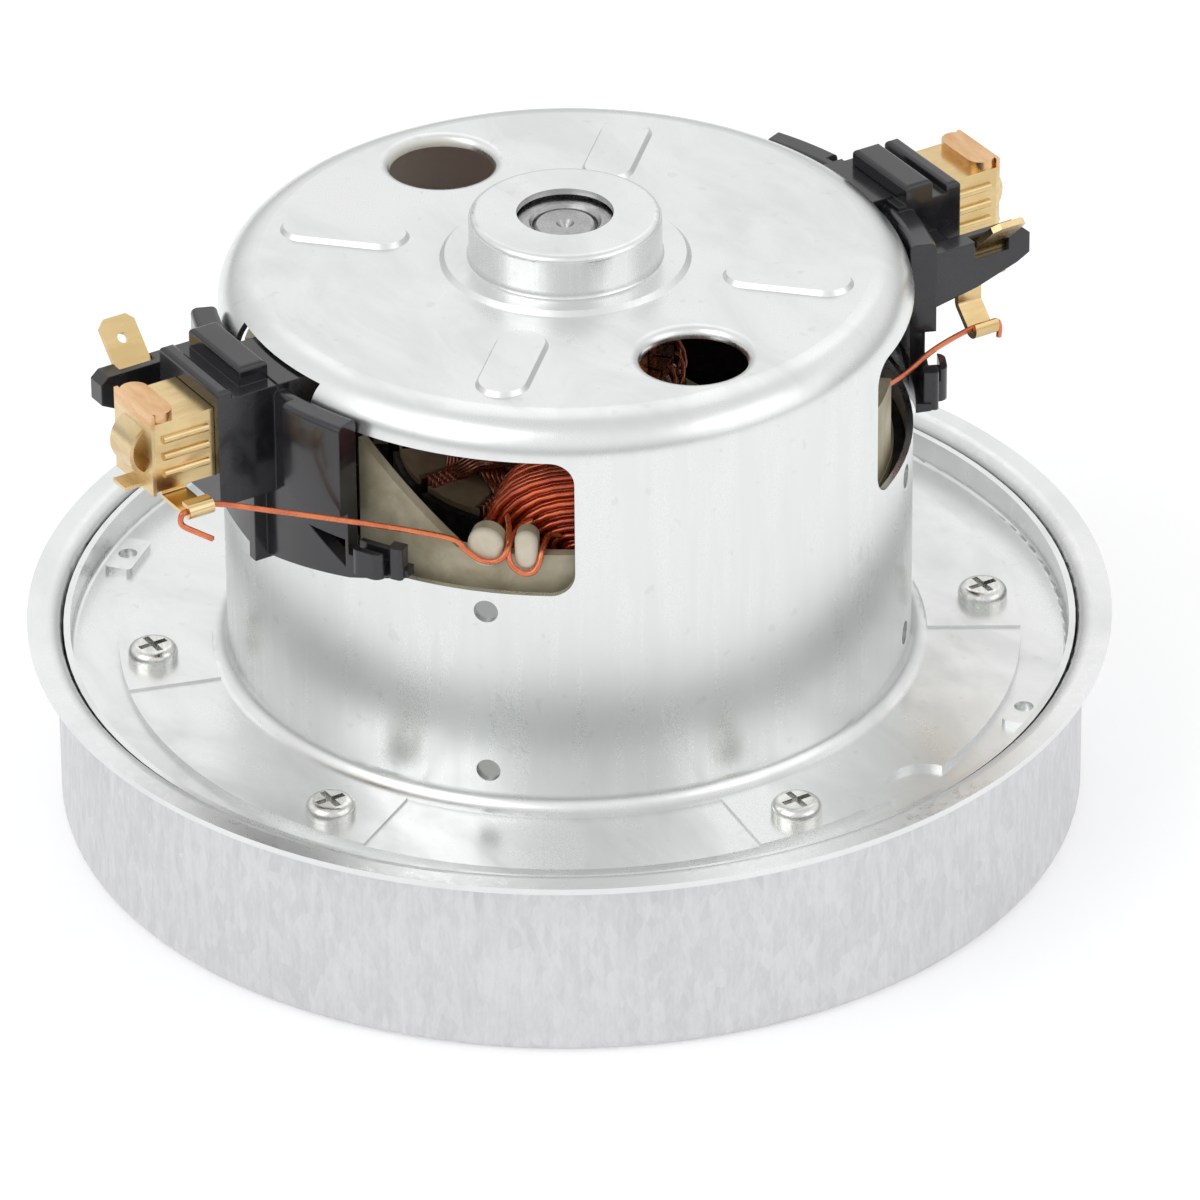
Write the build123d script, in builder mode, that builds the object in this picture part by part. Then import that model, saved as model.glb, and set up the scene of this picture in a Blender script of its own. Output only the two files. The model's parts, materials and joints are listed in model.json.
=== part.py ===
from build123d import *
from math import cos, degrees, pi, radians, sin, sqrt, tan
import os

# Vacuum motor unit: a two-pole brush motor in a drawn can, on a single-stage fan in a drum.
# Origin on the shaft axis at the underside of the drum, +Z up the shaft, +X along the brushes.
# All lengths are millimetres, all angles degrees.

# Sheet metal and common clearances
sheet = 0.8
overrun = 1.0
press_gap = 0.03
seat_gap = 0.1
running_gap = 0.6

# Motor housing: the can, its shoulder, its bearing boss and its flange
yoke_thickness = 5.0
can_headroom = 7.7
shoulder_radius = 5.0
flange_width = 13.6
flange_bend = 2.0
boss_height = 6.2
boss_round = 0.9
boss_foot_round = 1.4
boss_eye_radius = 5.96
boss_ring_width = 4.4
boss_ring_height = 0.6
vent_radius = 6.55
vent_inset = 13.3
vent_collar_depth = 1.4
vent_round = 1.2
rib_length = 16.2
rib_width = 6.6
rib_height = 0.6
rib_inset = 14.8
rib_taper = 35.0
window_rise = 3.2
window_headroom = 2.9
window_half_angle = 59.6
window_round = 3.0
flange_pad_height = 0.3
flange_pad_half_angle = 7.5
notch_radius = 4.6
notch_angle = 107.5
stake_radius = 1.5
stake_depth = 0.5
stake_angles = (45, 135, 225, 315)
stake_rise = 5.8
stake_core_rise = 0.5

# Fan cover: the drum, its lip and its inlet eye
drum_margin = 7.8
drum_corner = 1.6
lip_width = 3.5
lip_rise = 1.3
lip_bend = 1.2
inlet_radius = 19.0
collar_overlap = 1.4
inlet_bend = 1.5

# End bracket: the plate that carries the can, its edge and its bearing cup
cup_depth = 7.0
bracket_edge_rise = 3.8
bracket_corner = 1.4
drum_gap = 0.2
bracket_eye_radius = 6.2
cup_lift = 3.6
cup_corner = 1.1
port_count = 8
port_inner_margin = 6.0
port_outer_margin = 7.6
port_half_angle = 14.0
port_round = 2.0
lug_outset = 3.0
lug_angle = 129.0
lug_length = 7.6
lug_width = 3.6
lug_height = 0.9
lug_round = 0.7
lug_hole_radius = 1.2

# Flange screws, M3 pan head with a cross recess
screw_inset = 4.1
screw_angles = (24.6, 90, 155.4, 204.6, 270, 335.4)
screw_radius = 1.5
screw_clear = 0.1
screw_head_radius = 3.1
screw_head_height = 2.0
screw_head_round = 1.2
screw_length = 4.0
recess_length = 3.8
recess_width = 0.8
recess_depth = 1.2

# Ball bearings, 8 x 22 x 7
shaft_radius = 4.0
bearing_radius = 11.0
bearing_width = 7.0
inner_ring_wall = 2.05
outer_ring_wall = 2.05
groove_depth = 0.534
ball_count = 7
groove_clear = 0.05
bearing_chamfer = 0.4
shield_thickness = 0.3
shield_inset = 0.35
shield_gap = 0.15
cage_thickness = 0.5
cage_depth = 2.2
cage_half_width = 1.2
cage_clear = 0.12
washer_height = 0.5
washer_width = 2.2

# Shaft
shaft_setback = 1.6
shaft_end_reach = 1.8
shaft_chamfer = 0.5
centre_mark_radius = 1.1
centre_mark_depth = 1.3

# Impeller, its clamping pieces and the diffuser above it
impeller_margin = 10.5
impeller_sheet = 0.7
impeller_eye_bottom = 2.2
impeller_eye_rise = 3.0
impeller_passage = 4.6
blade_count = 9
blade_thickness = 0.7
blade_inset = 2.5
blade_rim_setback = 0.8
blade_sweep = 62.0
blade_arc_radius = 32.0
clamp_radius = 10.0
clamp_thickness = 1.0
nut_across_flats = 13.0
nut_height = 4.6
nut_chamfer = 0.8
spacer_radius = 5.8
diffuser_margin = 6.5
diffuser_sheet = 1.2
diffuser_gap = 1.2
vane_count = 12
vane_thickness = 1.2
vane_inner_radius = 24.0
vane_margin = 1.4
vane_sweep = 38.0
vane_arc_radius = 46.0
vane_step_margin = 6.1
vane_step_depth = 2.4

# Stator core and its two poles
core_rise = 11.6
stack_height = 16.0
yoke_gap = 2.2
pole_neck_half_width = 12.5
shoe_thickness = 3.9
air_gap = 0.5
shoe_half_angle = 58.0

# Field coils: a plain core under one wound outer layer
wire_radius = 0.4
turn_count = 8
turn_pitch = 1.25
head_pitch = 1.7
coil_depth = 7.6
turn_bend_angle = 25.0
first_turn_offset = 1.2
first_turn_rise = 4.5
first_turn_drop = 1.6
coil_gap = 0.2
coil_half_angle = 40.0
coil_round = 7.0

# Coil insulators
insulator_thickness = 1.2
liner_thickness = 0.6
liner_length = 6.0
inner_wall_thickness = 0.8
outer_wall_gap = 1.6
outer_wall_thickness = 1.6
outer_wall_rise = 7.4
outer_wall_angles = (100.0, 160.0)
ramp_rise = 19.0
ramp_angle = 141.0
far_wall_angles = (40.0, 61.0)
far_wall_rise = 12.0
inner_wall_rise = 12.0
inner_wall_half_angle = 44.0
lower_wall_drop = 10.0
post_angles = (135.6, 128.6)
post_widths = (4.4, 2.8)
post_depth = 2.7
post_rise = 10.8
post_height = 5.2
post_round = 0.9

# Armature
armature_radius = 21.6
slot_count = 12
slot_mouth = 2.2
core_back = 8.6
slot_width_share = 0.576
slot_lip = 1.2
winding_head_inset = 2.0
winding_bore_gap = 2.5
winding_head_height = 8.6
winding_round = 3.0
winding_groove_radius = 1.1
fibre_thickness = 0.8

# Commutator
bar_count = 24
bar_radius = 11.4
bar_depth = 2.8
bar_slit = 0.5
commutator_lift = 2.8
commutator_length = 11.4
riser_reach = 1.8
riser_height = 1.4
hub_lip = 0.4
hub_chamfer = 0.6

# Carbon brushes, springs and brass tubes
brush_axis_rise = 6.3
tube_width = 9.0
tube_height = 9.2
tube_wall = 0.6
tube_gap = 1.8
tube_reach = 17.7
tube_rib_radius = 0.55
tube_rib_count = 3
tube_rib_inset = 1.0
tube_rib_spacing = 2.3
brush_clear = 0.1
brush_contact_gap = 0.05
brush_length = 27.0
spring_wire_radius = 0.3
spring_radius = 2.9
spring_turns = 10
foot_setback = 4.9
foot_width = 3.4
foot_drop = 2.0
foot_inner = 2.4
foot_outset = 4.4
foot_sheet = 0.5
cap_sheet = 0.5
cap_bow = 1.9
cap_bow_width = 4.8
cap_bow_margin = 1.2
cap_foot_length = 2.7
cap_foot_width = 2.9
cap_ear_width = 3.6
cap_ear_height = 1.2

# Black brush holder, on the right: x outward along the brush, y across it
saddle_gap = 0.3
saddle_thickness = 1.9
arch_drop = 19.1
arch_rise = 6.4
arch_half_width = 28.0
arch_shares = ((0, 0), (0.615, 0.47), (0.76, 0.67), (1, 1))
saddle_drop = 12.9
saddle_half_angle = 33.0
plate_half_angle = 22.5
plate_rise = 5.0
block_thickness = 3.3
block_drop = 7.3
block_start_angles = (3.5, 11.0)
block_round = 0.8
block_corner = 2.2
rib_near = 1.9
rib_far = 3.3
rib_reach = 3.8
core_reach = 9.6
core_setback = 0.4
core_near_wall = 1.0
core_far_wall = 4.0
core_drop = 8.7
holder_core_rise = 5.7
fin_setback = 1.6
fin_thickness = 3.9
fin_rise = 2.5
fin_side = 3.6
outer_fin_thickness = 2.0
outer_fin_rise = 1.2
fin_round = 0.7
wall_setback = 0.6
wall_reach = 15.4
wall_gap = 4.3
wall_thickness = 2.6
wall_drop = 5.6
wall_height = 7.6
wall_shares = ((0, 0), (0.48, 0.16), (0.88, 0.4), (1, 0.52), (1, 0.88), (0.93, 1), (0, 1))
bridge_reach = 6.0
bridge_drop = 5.0
bridge_height = 6.1
hook_start_angle = 24.5
hook_thickness = 4.0
hook_setback = 0.4
hook_top_drops = (10.5, 9.5)
hook_slot_inner = 1.7
hook_slot_width = 1.4
hook_slot_depth = 1.6
hook_round = 1.2
prong_start_angle = 30.3
prong_thickness = 2.8
prong_lift = 0.8
prong_slit_angle = 0.4
prong_round = 0.5
hook_drop = 13.9
barb_angle = 18.2
barb_width = 5.8
barb_drop = 14.8
barb_height = 3.8
guide_depth = 11.6
guide_wall = 1.2
guide_clear = 0.1
notch_half_width = 9.0
notch_rise = 6.3
notch_depth = 6.6

# Line terminal: a blade in the holder wall, a push-on tab above and a wire foot below
blade_sheet = 0.8
blade_inset_depth = 1.4
blade_setback = 5.4
blade_length = 7.0
blade_drop = 3.9
blade_height = 3.6
blade_clear = 0.05
tab_setback = 2.0
tab_width = 4.8
tab_reach = 5.4
tab_bend_radius = 1.0
tab_hole_radius = 0.7
tab_chamfer = 0.9
line_foot_width = 3.4
line_foot_drop = 3.0
line_foot_reach = 2.7
tab_hole_place = 3.4

# Enamelled copper leads
lead_radius = 0.45
lead_bend = 0.9
tail_length = 2.4
lead_end_depth = 5.5
post_wire_gap = 0.1
post_wire_angles = (40.6, 48.48)
post_wire_drop = 2.3
hook_wire_outset = 2.9
hook_wire_angle = -25.4
hook_wire_drop = 8.6
window_wire_depth = 5.0
window_wire_angle = -38.3
window_wire_drop = 9.5
coil_wire_angle = -50.0
coil_wire_rise = 7.6
fold_gap = 0.05

# Radii and reaches, from the shaft outward
inner_race_radius = shaft_radius + inner_ring_wall
outer_race_radius = bearing_radius - outer_ring_wall
ball_radius = (outer_race_radius - inner_race_radius) / 2 + groove_depth
boss_ring_radius = bearing_radius + boss_ring_width
winding_inner_radius = shaft_radius + winding_bore_gap
bar_inner_radius = bar_radius - bar_depth
riser_radius = bar_radius + riser_reach
blade_inner_radius = inlet_radius + blade_inset
winding_head_radius = armature_radius - winding_head_inset
shoe_outer_radius = armature_radius + air_gap + shoe_thickness
coil_inner_radius = shoe_outer_radius + inner_wall_thickness + coil_gap
turn_radius = coil_inner_radius + coil_depth
yoke_inner_radius = turn_radius + yoke_gap
can_radius = yoke_inner_radius + sheet + yoke_thickness
vent_place = can_radius - vent_inset
rib_place = can_radius - rib_inset
port_inner_radius = bearing_radius + port_inner_margin
port_outer_radius = can_radius - port_outer_margin
outer_wall_radius = can_radius - sheet - outer_wall_gap
flange_radius = can_radius + flange_width
screw_circle_radius = flange_radius - screw_inset
lug_place = flange_radius + lug_outset
drum_radius = flange_radius + drum_margin
lip_radius = drum_radius + lip_width
impeller_radius = drum_radius - impeller_margin
diffuser_radius = drum_radius - diffuser_margin
vane_outer_radius = drum_radius - vane_margin
vane_step_radius = screw_circle_radius - vane_step_margin
tube_inner_end = riser_radius + tube_gap
tube_outer_end = can_radius + tube_reach
foot_start = tube_outer_end - foot_setback
foot_reach = tube_width / 2 + foot_outset
notch_inner = can_radius - notch_depth
guide_inner_end = can_radius - guide_depth
rib_outer = can_radius + rib_reach
core_inner = can_radius + core_setback
core_outer = can_radius + core_reach
core_near_side = tube_width / 2 + core_near_wall
core_far_side = tube_width / 2 + core_far_wall
fin_start = can_radius + fin_setback
fin_end = fin_start + fin_thickness
wall_start = can_radius + wall_setback
wall_outer = can_radius + wall_reach
wall_near = core_far_side + wall_gap
wall_far = wall_near + wall_thickness
bridge_outer = can_radius + bridge_reach
blade_side = wall_near + blade_inset_depth
blade_start = can_radius + blade_setback
blade_end = blade_start + blade_length
tab_start = blade_start + tab_setback
lead_end_radius = can_radius - lead_end_depth
post_wire_radius = outer_wall_radius - outer_wall_thickness + post_depth + lead_radius + post_wire_gap
hook_wire_radius = can_radius + hook_wire_outset
window_wire_radius = can_radius - window_wire_depth

# Heights, from the impeller eye up to the boss
inlet_collar_height = impeller_eye_bottom + collar_overlap
impeller_rim_bottom = impeller_eye_bottom + impeller_eye_rise
back_plate_bottom = impeller_rim_bottom + impeller_passage
shaft_bottom = back_plate_bottom - clamp_thickness - nut_height - shaft_end_reach
cup_floor_bottom = back_plate_bottom + cup_lift
bracket_top = cup_floor_bottom + cup_depth
bracket_edge_top = bracket_top + bracket_edge_rise
lip_top = bracket_edge_top + lip_rise
core_bottom = bracket_top + core_rise
core_top = core_bottom + stack_height
first_turn_top = core_top + first_turn_rise
first_turn_bottom = core_bottom - first_turn_drop
outer_wall_top = core_top + outer_wall_rise
far_wall_top = core_top + far_wall_rise
inner_wall_top = core_top + inner_wall_rise
ramp_top = core_top + ramp_rise
lower_wall_bottom = core_bottom - lower_wall_drop
post_top = core_top + post_rise
post_wire_height = post_top - post_wire_drop
coil_wire_height = core_top + coil_wire_rise
window_bottom = core_top + window_rise
commutator_bottom = core_top + fibre_thickness + winding_head_height + commutator_lift
commutator_top = commutator_bottom + commutator_length
brush_axis_height = commutator_bottom + brush_axis_rise
can_top = brush_axis_height + can_headroom
boss_top = can_top + boss_height
shaft_top = boss_top - shaft_setback
notch_top = brush_axis_height + notch_rise
saddle_top = brush_axis_height - saddle_drop
plate_top = brush_axis_height + plate_rise
block_bottom = brush_axis_height - block_drop
core_bottom_height = brush_axis_height - core_drop
core_top_height = brush_axis_height + holder_core_rise
fin_top = core_top_height + fin_rise
outer_fin_top = core_top_height + outer_fin_rise
bridge_bottom = brush_axis_height - bridge_drop
bridge_top = bridge_bottom + bridge_height
hook_bottom = brush_axis_height - hook_drop
barb_bottom = brush_axis_height - barb_drop
barb_top = barb_bottom + barb_height
blade_bottom = brush_axis_height - blade_drop
blade_top = blade_bottom + blade_height
line_foot_bend = blade_bottom - line_foot_drop
hook_wire_height = brush_axis_height - hook_wire_drop
window_wire_height = brush_axis_height - window_wire_drop
window_height = brush_axis_height + window_headroom - window_bottom
stake_heights = (bracket_top + stake_rise, core_top + stake_core_rise)
arch_bottom = brush_axis_height - arch_drop
saddle_arch = [(arch_half_width * across, arch_bottom + arch_rise * up) for across, up in arch_shares]
wall_bottom = brush_axis_height - wall_drop
wall_length = wall_outer - wall_start
wall_outline = [(wall_start + wall_length * out, wall_bottom + wall_height * up) for out, up in wall_shares]
hook_tops = [brush_axis_height - drop for drop in hook_top_drops]

os.makedirs("parts", exist_ok=True)


def save(piece, name):
    """Label a finished piece and write it out under its own name."""
    piece.part.label = name
    export_step(piece.part, f"parts/{name}.step")


def save_twins(piece, right_name, left_name):
    """Write out the right-hand piece, and its twin half a turn round on the left."""
    save(piece, right_name)
    with BuildPart() as twin:
        add(piece.part, rotation=(0, 0, 180))
    save(twin, left_name)


def level(height, turn=0):
    """The horizontal plane at a height, turned about the shaft axis."""
    return Plane.XY.offset(height).rotated((0, 0, turn))


def upright(angle=0):
    """The upright plane through the axis whose x points outward at an angle."""
    return Plane.XZ.rotated((0, 0, angle))


def facing(distance, angle=0):
    """The upright plane across a radius: x along the tangent, y up, z outward."""
    return Plane.YZ.rotated((0, 0, angle)).offset(distance)


def around(radius, angles):
    """Points on a circle at the given angles."""
    return [(radius * cos(radians(a)), radius * sin(radians(a))) for a in angles]


def ring_sector(inner, outer, start, size):
    """Draw a sector of a ring into the open sketch."""
    with BuildLine() as outline:
        outside = CenterArc((0, 0), outer, start, size)
        inside = CenterArc((0, 0), inner, start, size)
        Line(outside @ 0, inside @ 0)
        Line(outside @ 1, inside @ 1)
    make_face(outline.edges())


def between(x_start, x_end, y_start, y_end):
    """Draw a rectangle from its two x and two y limits into the open sketch."""
    with Locations(((x_start + x_end) / 2, (y_start + y_end) / 2)):
        Rectangle(x_end - x_start, y_end - y_start)


# Motor housing: a drawn can with windows, vents, ribs, boss and screwed flange
can_inner_radius = can_radius - sheet
boss_radius = bearing_radius + press_gap + sheet
flange_top = bracket_top + sheet

with BuildPart() as window_cutter:
    for turn in (0, 180):
        with BuildSketch(level(window_bottom)):
            ring_sector(notch_inner, can_radius + overrun, turn - window_half_angle, 2 * window_half_angle)
        extrude(amount=window_height)
    fillet(window_cutter.edges().filter_by(GeomType.LINE).filter_by(Axis.Z, reverse=True), window_round)
    for turn in (0, 180):
        with BuildSketch(level(window_bottom + window_height / 2, turn)):
            between(notch_inner, can_radius + overrun, -notch_half_width, notch_half_width)
        extrude(amount=notch_top - window_bottom - window_height / 2)

with BuildPart() as motor_housing:
    with BuildSketch(Plane.XZ):
        with BuildLine():
            FilletPolyline(
                (boss_eye_radius, boss_top),
                (boss_radius, boss_top),
                (boss_radius, can_top),
                (can_radius, can_top),
                (can_radius, flange_top),
                (flange_radius, flange_top),
                radius=[boss_round, boss_foot_round, shoulder_radius, flange_bend],
            )
            offset(amount=sheet, side=Side.RIGHT)
        make_face()
    revolve(axis=Axis.Z)
    with BuildSketch(Plane.XZ):
        with BuildLine():
            Polyline(
                (boss_radius - sheet / 2, can_top - sheet / 2),
                (boss_ring_radius, can_top - sheet / 2),
                (boss_ring_radius, can_top),
                (boss_ring_radius - boss_ring_height, can_top + boss_ring_height),
                (boss_radius - sheet / 2, can_top + boss_ring_height),
                close=True,
            )
        make_face()
    revolve(axis=Axis.Z)
    with BuildSketch(level(can_top)):
        with PolarLocations(rib_place, 4, start_angle=45):
            SlotOverall(rib_length, rib_width)
    extrude(amount=rib_height, taper=rib_taper)
    with BuildSketch(level(can_top - sheet)):
        with PolarLocations(rib_place, 4, start_angle=45):
            SlotOverall(rib_length - 2 * sheet, rib_width - 2 * sheet)
    extrude(amount=rib_height, mode=Mode.SUBTRACT, taper=rib_taper)
    with BuildSketch(level(can_top - vent_collar_depth)):
        with PolarLocations(vent_place, 2, start_angle=90):
            Circle(vent_radius + sheet)
    extrude(amount=vent_collar_depth - sheet / 2)
    with BuildSketch(level(can_top)):
        with PolarLocations(vent_place, 2, start_angle=90):
            Circle(vent_radius)
    extrude(amount=-vent_collar_depth, mode=Mode.SUBTRACT)
    fillet(motor_housing.edges(Select.LAST).group_by(Axis.Z)[-1], vent_round)
    add(window_cutter.part, mode=Mode.SUBTRACT)
    with BuildSketch(level(flange_top)):
        for angle in screw_angles:
            ring_sector(
                can_radius + flange_bend,
                flange_radius,
                angle - flange_pad_half_angle,
                2 * flange_pad_half_angle,
            )
    extrude(amount=flange_pad_height)
    with BuildSketch(level(bracket_top)):
        with Locations(*around(screw_circle_radius, screw_angles)):
            Circle(screw_radius + screw_clear)
        with Locations(*around(flange_radius + sheet, (notch_angle, notch_angle + 180))):
            Circle(notch_radius)
    extrude(amount=sheet + flange_pad_height, mode=Mode.SUBTRACT)
    for angle in stake_angles:
        for height in stake_heights:
            with BuildSketch(facing(can_radius, angle)):
                with Locations((0, height)):
                    Circle(stake_radius)
            extrude(amount=-stake_depth, mode=Mode.SUBTRACT)
save(motor_housing, "motor_housing")

# Fan cover: the drum under the motor, with its lip above and its inlet eye below
with BuildPart() as fan_cover:
    with BuildSketch(Plane.XZ):
        with BuildLine():
            FilletPolyline(
                (inlet_radius, inlet_collar_height),
                (inlet_radius, 0),
                (drum_radius, 0),
                (drum_radius, lip_top - sheet),
                (lip_radius, lip_top - sheet),
                radius=[inlet_bend, drum_corner, lip_bend],
            )
            offset(amount=sheet, side=Side.LEFT)
        make_face()
    revolve(axis=Axis.Z)
save(fan_cover, "fan_cover")

# End bracket: plate, upturned edge, drawn bearing cup, air ports and two lugs
plate_bottom = bracket_top - sheet
bracket_radius = drum_radius - sheet - drum_gap

with BuildPart() as end_bracket:
    with BuildSketch(Plane.XZ):
        with BuildLine():
            FilletPolyline(
                (bracket_radius, bracket_edge_top),
                (bracket_radius, plate_bottom),
                (boss_radius, plate_bottom),
                (boss_radius, cup_floor_bottom),
                (bracket_eye_radius, cup_floor_bottom),
                radius=[bracket_corner, bracket_corner, cup_corner],
            )
            offset(amount=sheet, side=Side.RIGHT)
        make_face()
    revolve(axis=Axis.Z)
    with BuildSketch(level(bracket_top)) as lug_outline:
        for angle in (lug_angle, lug_angle + 180):
            with Locations(*around(lug_place, (angle,))):
                Rectangle(lug_length, lug_width, rotation=angle + 90)
        fillet(lug_outline.vertices(), lug_round)
    extrude(amount=lug_height)
    with BuildSketch(level(plate_bottom)) as port_outline:
        for number in range(port_count):
            middle = number * 360 / port_count
            ring_sector(port_inner_radius, port_outer_radius, middle - port_half_angle, 2 * port_half_angle)
        fillet(port_outline.vertices(), port_round)
    extrude(amount=sheet, mode=Mode.SUBTRACT)
    with BuildSketch(level(plate_bottom)):
        with Locations(*around(screw_circle_radius, screw_angles)):
            Circle(screw_radius + press_gap)
    extrude(amount=sheet, mode=Mode.SUBTRACT)
    with BuildSketch(level(bracket_top + lug_height)):
        with Locations(*around(lug_place, (lug_angle, lug_angle + 180))):
            Circle(lug_hole_radius)
    extrude(amount=-lug_height, mode=Mode.SUBTRACT)
save(end_bracket, "end_bracket")

# Six screws that hold the can flange to the bracket
screw_seat = flange_top + flange_pad_height

with BuildPart() as flange_screws:
    with BuildSketch(level(screw_seat)):
        with Locations(*around(screw_circle_radius, screw_angles)):
            Circle(screw_head_radius)
    extrude(amount=screw_head_height)
    fillet(flange_screws.edges().group_by(Axis.Z)[-1], screw_head_round)
    with BuildSketch(level(screw_seat)):
        with Locations(*around(screw_circle_radius, screw_angles)):
            Circle(screw_radius)
    extrude(amount=-screw_length)
    with BuildSketch(level(screw_seat + screw_head_height)):
        with Locations(*around(screw_circle_radius, screw_angles)):
            Rectangle(recess_length, recess_width)
            Rectangle(recess_width, recess_length)
    extrude(amount=-recess_depth, mode=Mode.SUBTRACT)
save(flange_screws, "flange_screws")

# The two ball bearings: rings, shields, and the cage with its balls
lower_bearing = cup_floor_bottom + sheet
top_bearing = boss_top - sheet - washer_height - bearing_width
pitch_radius = (inner_race_radius + outer_race_radius) / 2

for place, bottom in (("top", top_bearing), ("lower", lower_bearing)):
    middle = bottom + bearing_width / 2
    with BuildPart() as outer_ring:
        with BuildSketch(level(bottom)):
            Circle(bearing_radius)
            Circle(outer_race_radius, mode=Mode.SUBTRACT)
        extrude(amount=bearing_width)
        circles = outer_ring.edges().filter_by(GeomType.CIRCLE).sort_by(SortBy.RADIUS)
        chamfer(circles[-2:], bearing_chamfer)
        with Locations((0, 0, middle)):
            Torus(pitch_radius, ball_radius + groove_clear, mode=Mode.SUBTRACT)
    save(outer_ring, f"{place}_bearing_outer_ring")

    with BuildPart() as inner_ring:
        with BuildSketch(level(bottom)):
            Circle(inner_race_radius)
            Circle(shaft_radius + press_gap, mode=Mode.SUBTRACT)
        extrude(amount=bearing_width)
        circles = inner_ring.edges().filter_by(GeomType.CIRCLE).sort_by(SortBy.RADIUS)
        chamfer(circles[:2], bearing_chamfer)
        with Locations((0, 0, middle)):
            Torus(pitch_radius, ball_radius + groove_clear, mode=Mode.SUBTRACT)
    save(inner_ring, f"{place}_bearing_inner_ring")

    with BuildPart() as shields:
        for floor in (bottom + shield_inset, bottom + bearing_width - shield_inset - shield_thickness):
            with BuildSketch(level(floor)):
                Circle(outer_race_radius - press_gap)
                Circle(inner_race_radius + shield_gap, mode=Mode.SUBTRACT)
            extrude(amount=shield_thickness)
    save(shields, f"{place}_bearing_shields")

    with BuildPart() as ball_cage:
        with BuildSketch(level(middle + ball_radius + cage_clear + cage_thickness - cage_depth)):
            Circle(pitch_radius + cage_half_width)
            Circle(pitch_radius - cage_half_width, mode=Mode.SUBTRACT)
        extrude(amount=cage_depth)
        with Locations((0, 0, middle)):
            with PolarLocations(pitch_radius, ball_count):
                Sphere(ball_radius + cage_clear, mode=Mode.SUBTRACT)
                Sphere(ball_radius)
    save(ball_cage, f"{place}_bearing_ball_cage")

with BuildPart() as top_bearing_washer:
    with BuildSketch(level(top_bearing + bearing_width)):
        Circle(bearing_radius - bearing_chamfer)
        Circle(bearing_radius - washer_width, mode=Mode.SUBTRACT)
    extrude(amount=washer_height)
save(top_bearing_washer, "top_bearing_washer")

# Shaft, with a centre mark in each end
with BuildPart() as rotor_shaft:
    with BuildSketch(level(shaft_bottom)):
        Circle(shaft_radius)
    extrude(amount=shaft_top - shaft_bottom)
    chamfer(rotor_shaft.edges(), shaft_chamfer)
    with Locations(level(shaft_top - centre_mark_depth / 2).location):
        Cone(0, centre_mark_radius, centre_mark_depth, mode=Mode.SUBTRACT)
    with Locations(level(shaft_bottom + centre_mark_depth / 2).location):
        Cone(centre_mark_radius, 0, centre_mark_depth, mode=Mode.SUBTRACT)
save(rotor_shaft, "rotor_shaft")

# Impeller: back plate, front plate and the blades between them
eye_radius = inlet_radius + sheet + running_gap

with BuildPart() as impeller_back_plate:
    with BuildSketch(level(back_plate_bottom)):
        Circle(impeller_radius)
        Circle(shaft_radius + press_gap, mode=Mode.SUBTRACT)
    extrude(amount=impeller_sheet)
save(impeller_back_plate, "impeller_back_plate")

with BuildPart() as impeller_front_plate:
    with BuildSketch(Plane.XZ):
        with BuildLine():
            Polyline(
                (eye_radius, impeller_eye_bottom),
                (impeller_radius, impeller_rim_bottom),
                (impeller_radius, impeller_rim_bottom + impeller_sheet),
                (eye_radius, impeller_eye_bottom + impeller_sheet),
                close=True,
            )
        make_face()
    revolve(axis=Axis.Z)
save(impeller_front_plate, "impeller_front_plate")


def curved_vane(start_radius, end_radius, sweep, arc_radius, thickness):
    """Draw one curved blade in plan, from an inner to an outer radius."""
    start = (start_radius, 0)
    end = (end_radius * cos(radians(sweep)), end_radius * sin(radians(sweep)))
    with BuildLine() as middle_line:
        RadiusArc(start, end, -arc_radius)
    with BuildLine() as outline:
        offset(middle_line.line, amount=thickness / 2, kind=Kind.ARC)
    make_face(outline.edges())


with BuildPart() as impeller_blades:
    for number in range(blade_count):
        with BuildSketch(level(impeller_eye_bottom, number * 360 / blade_count)):
            curved_vane(
                blade_inner_radius,
                impeller_radius - blade_rim_setback,
                blade_sweep,
                blade_arc_radius,
                blade_thickness,
            )
        extrude(amount=back_plate_bottom - impeller_eye_bottom)
    with BuildSketch(Plane.XZ):
        with BuildLine():
            Polyline(
                (0, 0),
                (impeller_radius, 0),
                (impeller_radius, impeller_rim_bottom + impeller_sheet),
                (eye_radius, impeller_eye_bottom + impeller_sheet),
                (0, impeller_eye_bottom + impeller_sheet),
                close=True,
            )
        make_face()
    revolve(axis=Axis.Z, mode=Mode.SUBTRACT)
save(impeller_blades, "impeller_blades")

# The pieces that clamp the impeller on the shaft
back_plate_top = back_plate_bottom + impeller_sheet

with BuildPart() as clamp_washers:
    for floor in (back_plate_top, back_plate_bottom - clamp_thickness):
        with BuildSketch(level(floor)):
            Circle(clamp_radius)
            Circle(shaft_radius + press_gap, mode=Mode.SUBTRACT)
        extrude(amount=clamp_thickness)
save(clamp_washers, "impeller_clamp_washers")

with BuildPart() as shaft_spacer:
    with BuildSketch(level(back_plate_top + clamp_thickness)):
        Circle(spacer_radius)
        Circle(shaft_radius + press_gap, mode=Mode.SUBTRACT)
    extrude(amount=lower_bearing - back_plate_top - clamp_thickness)
save(shaft_spacer, "shaft_spacer")

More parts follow.
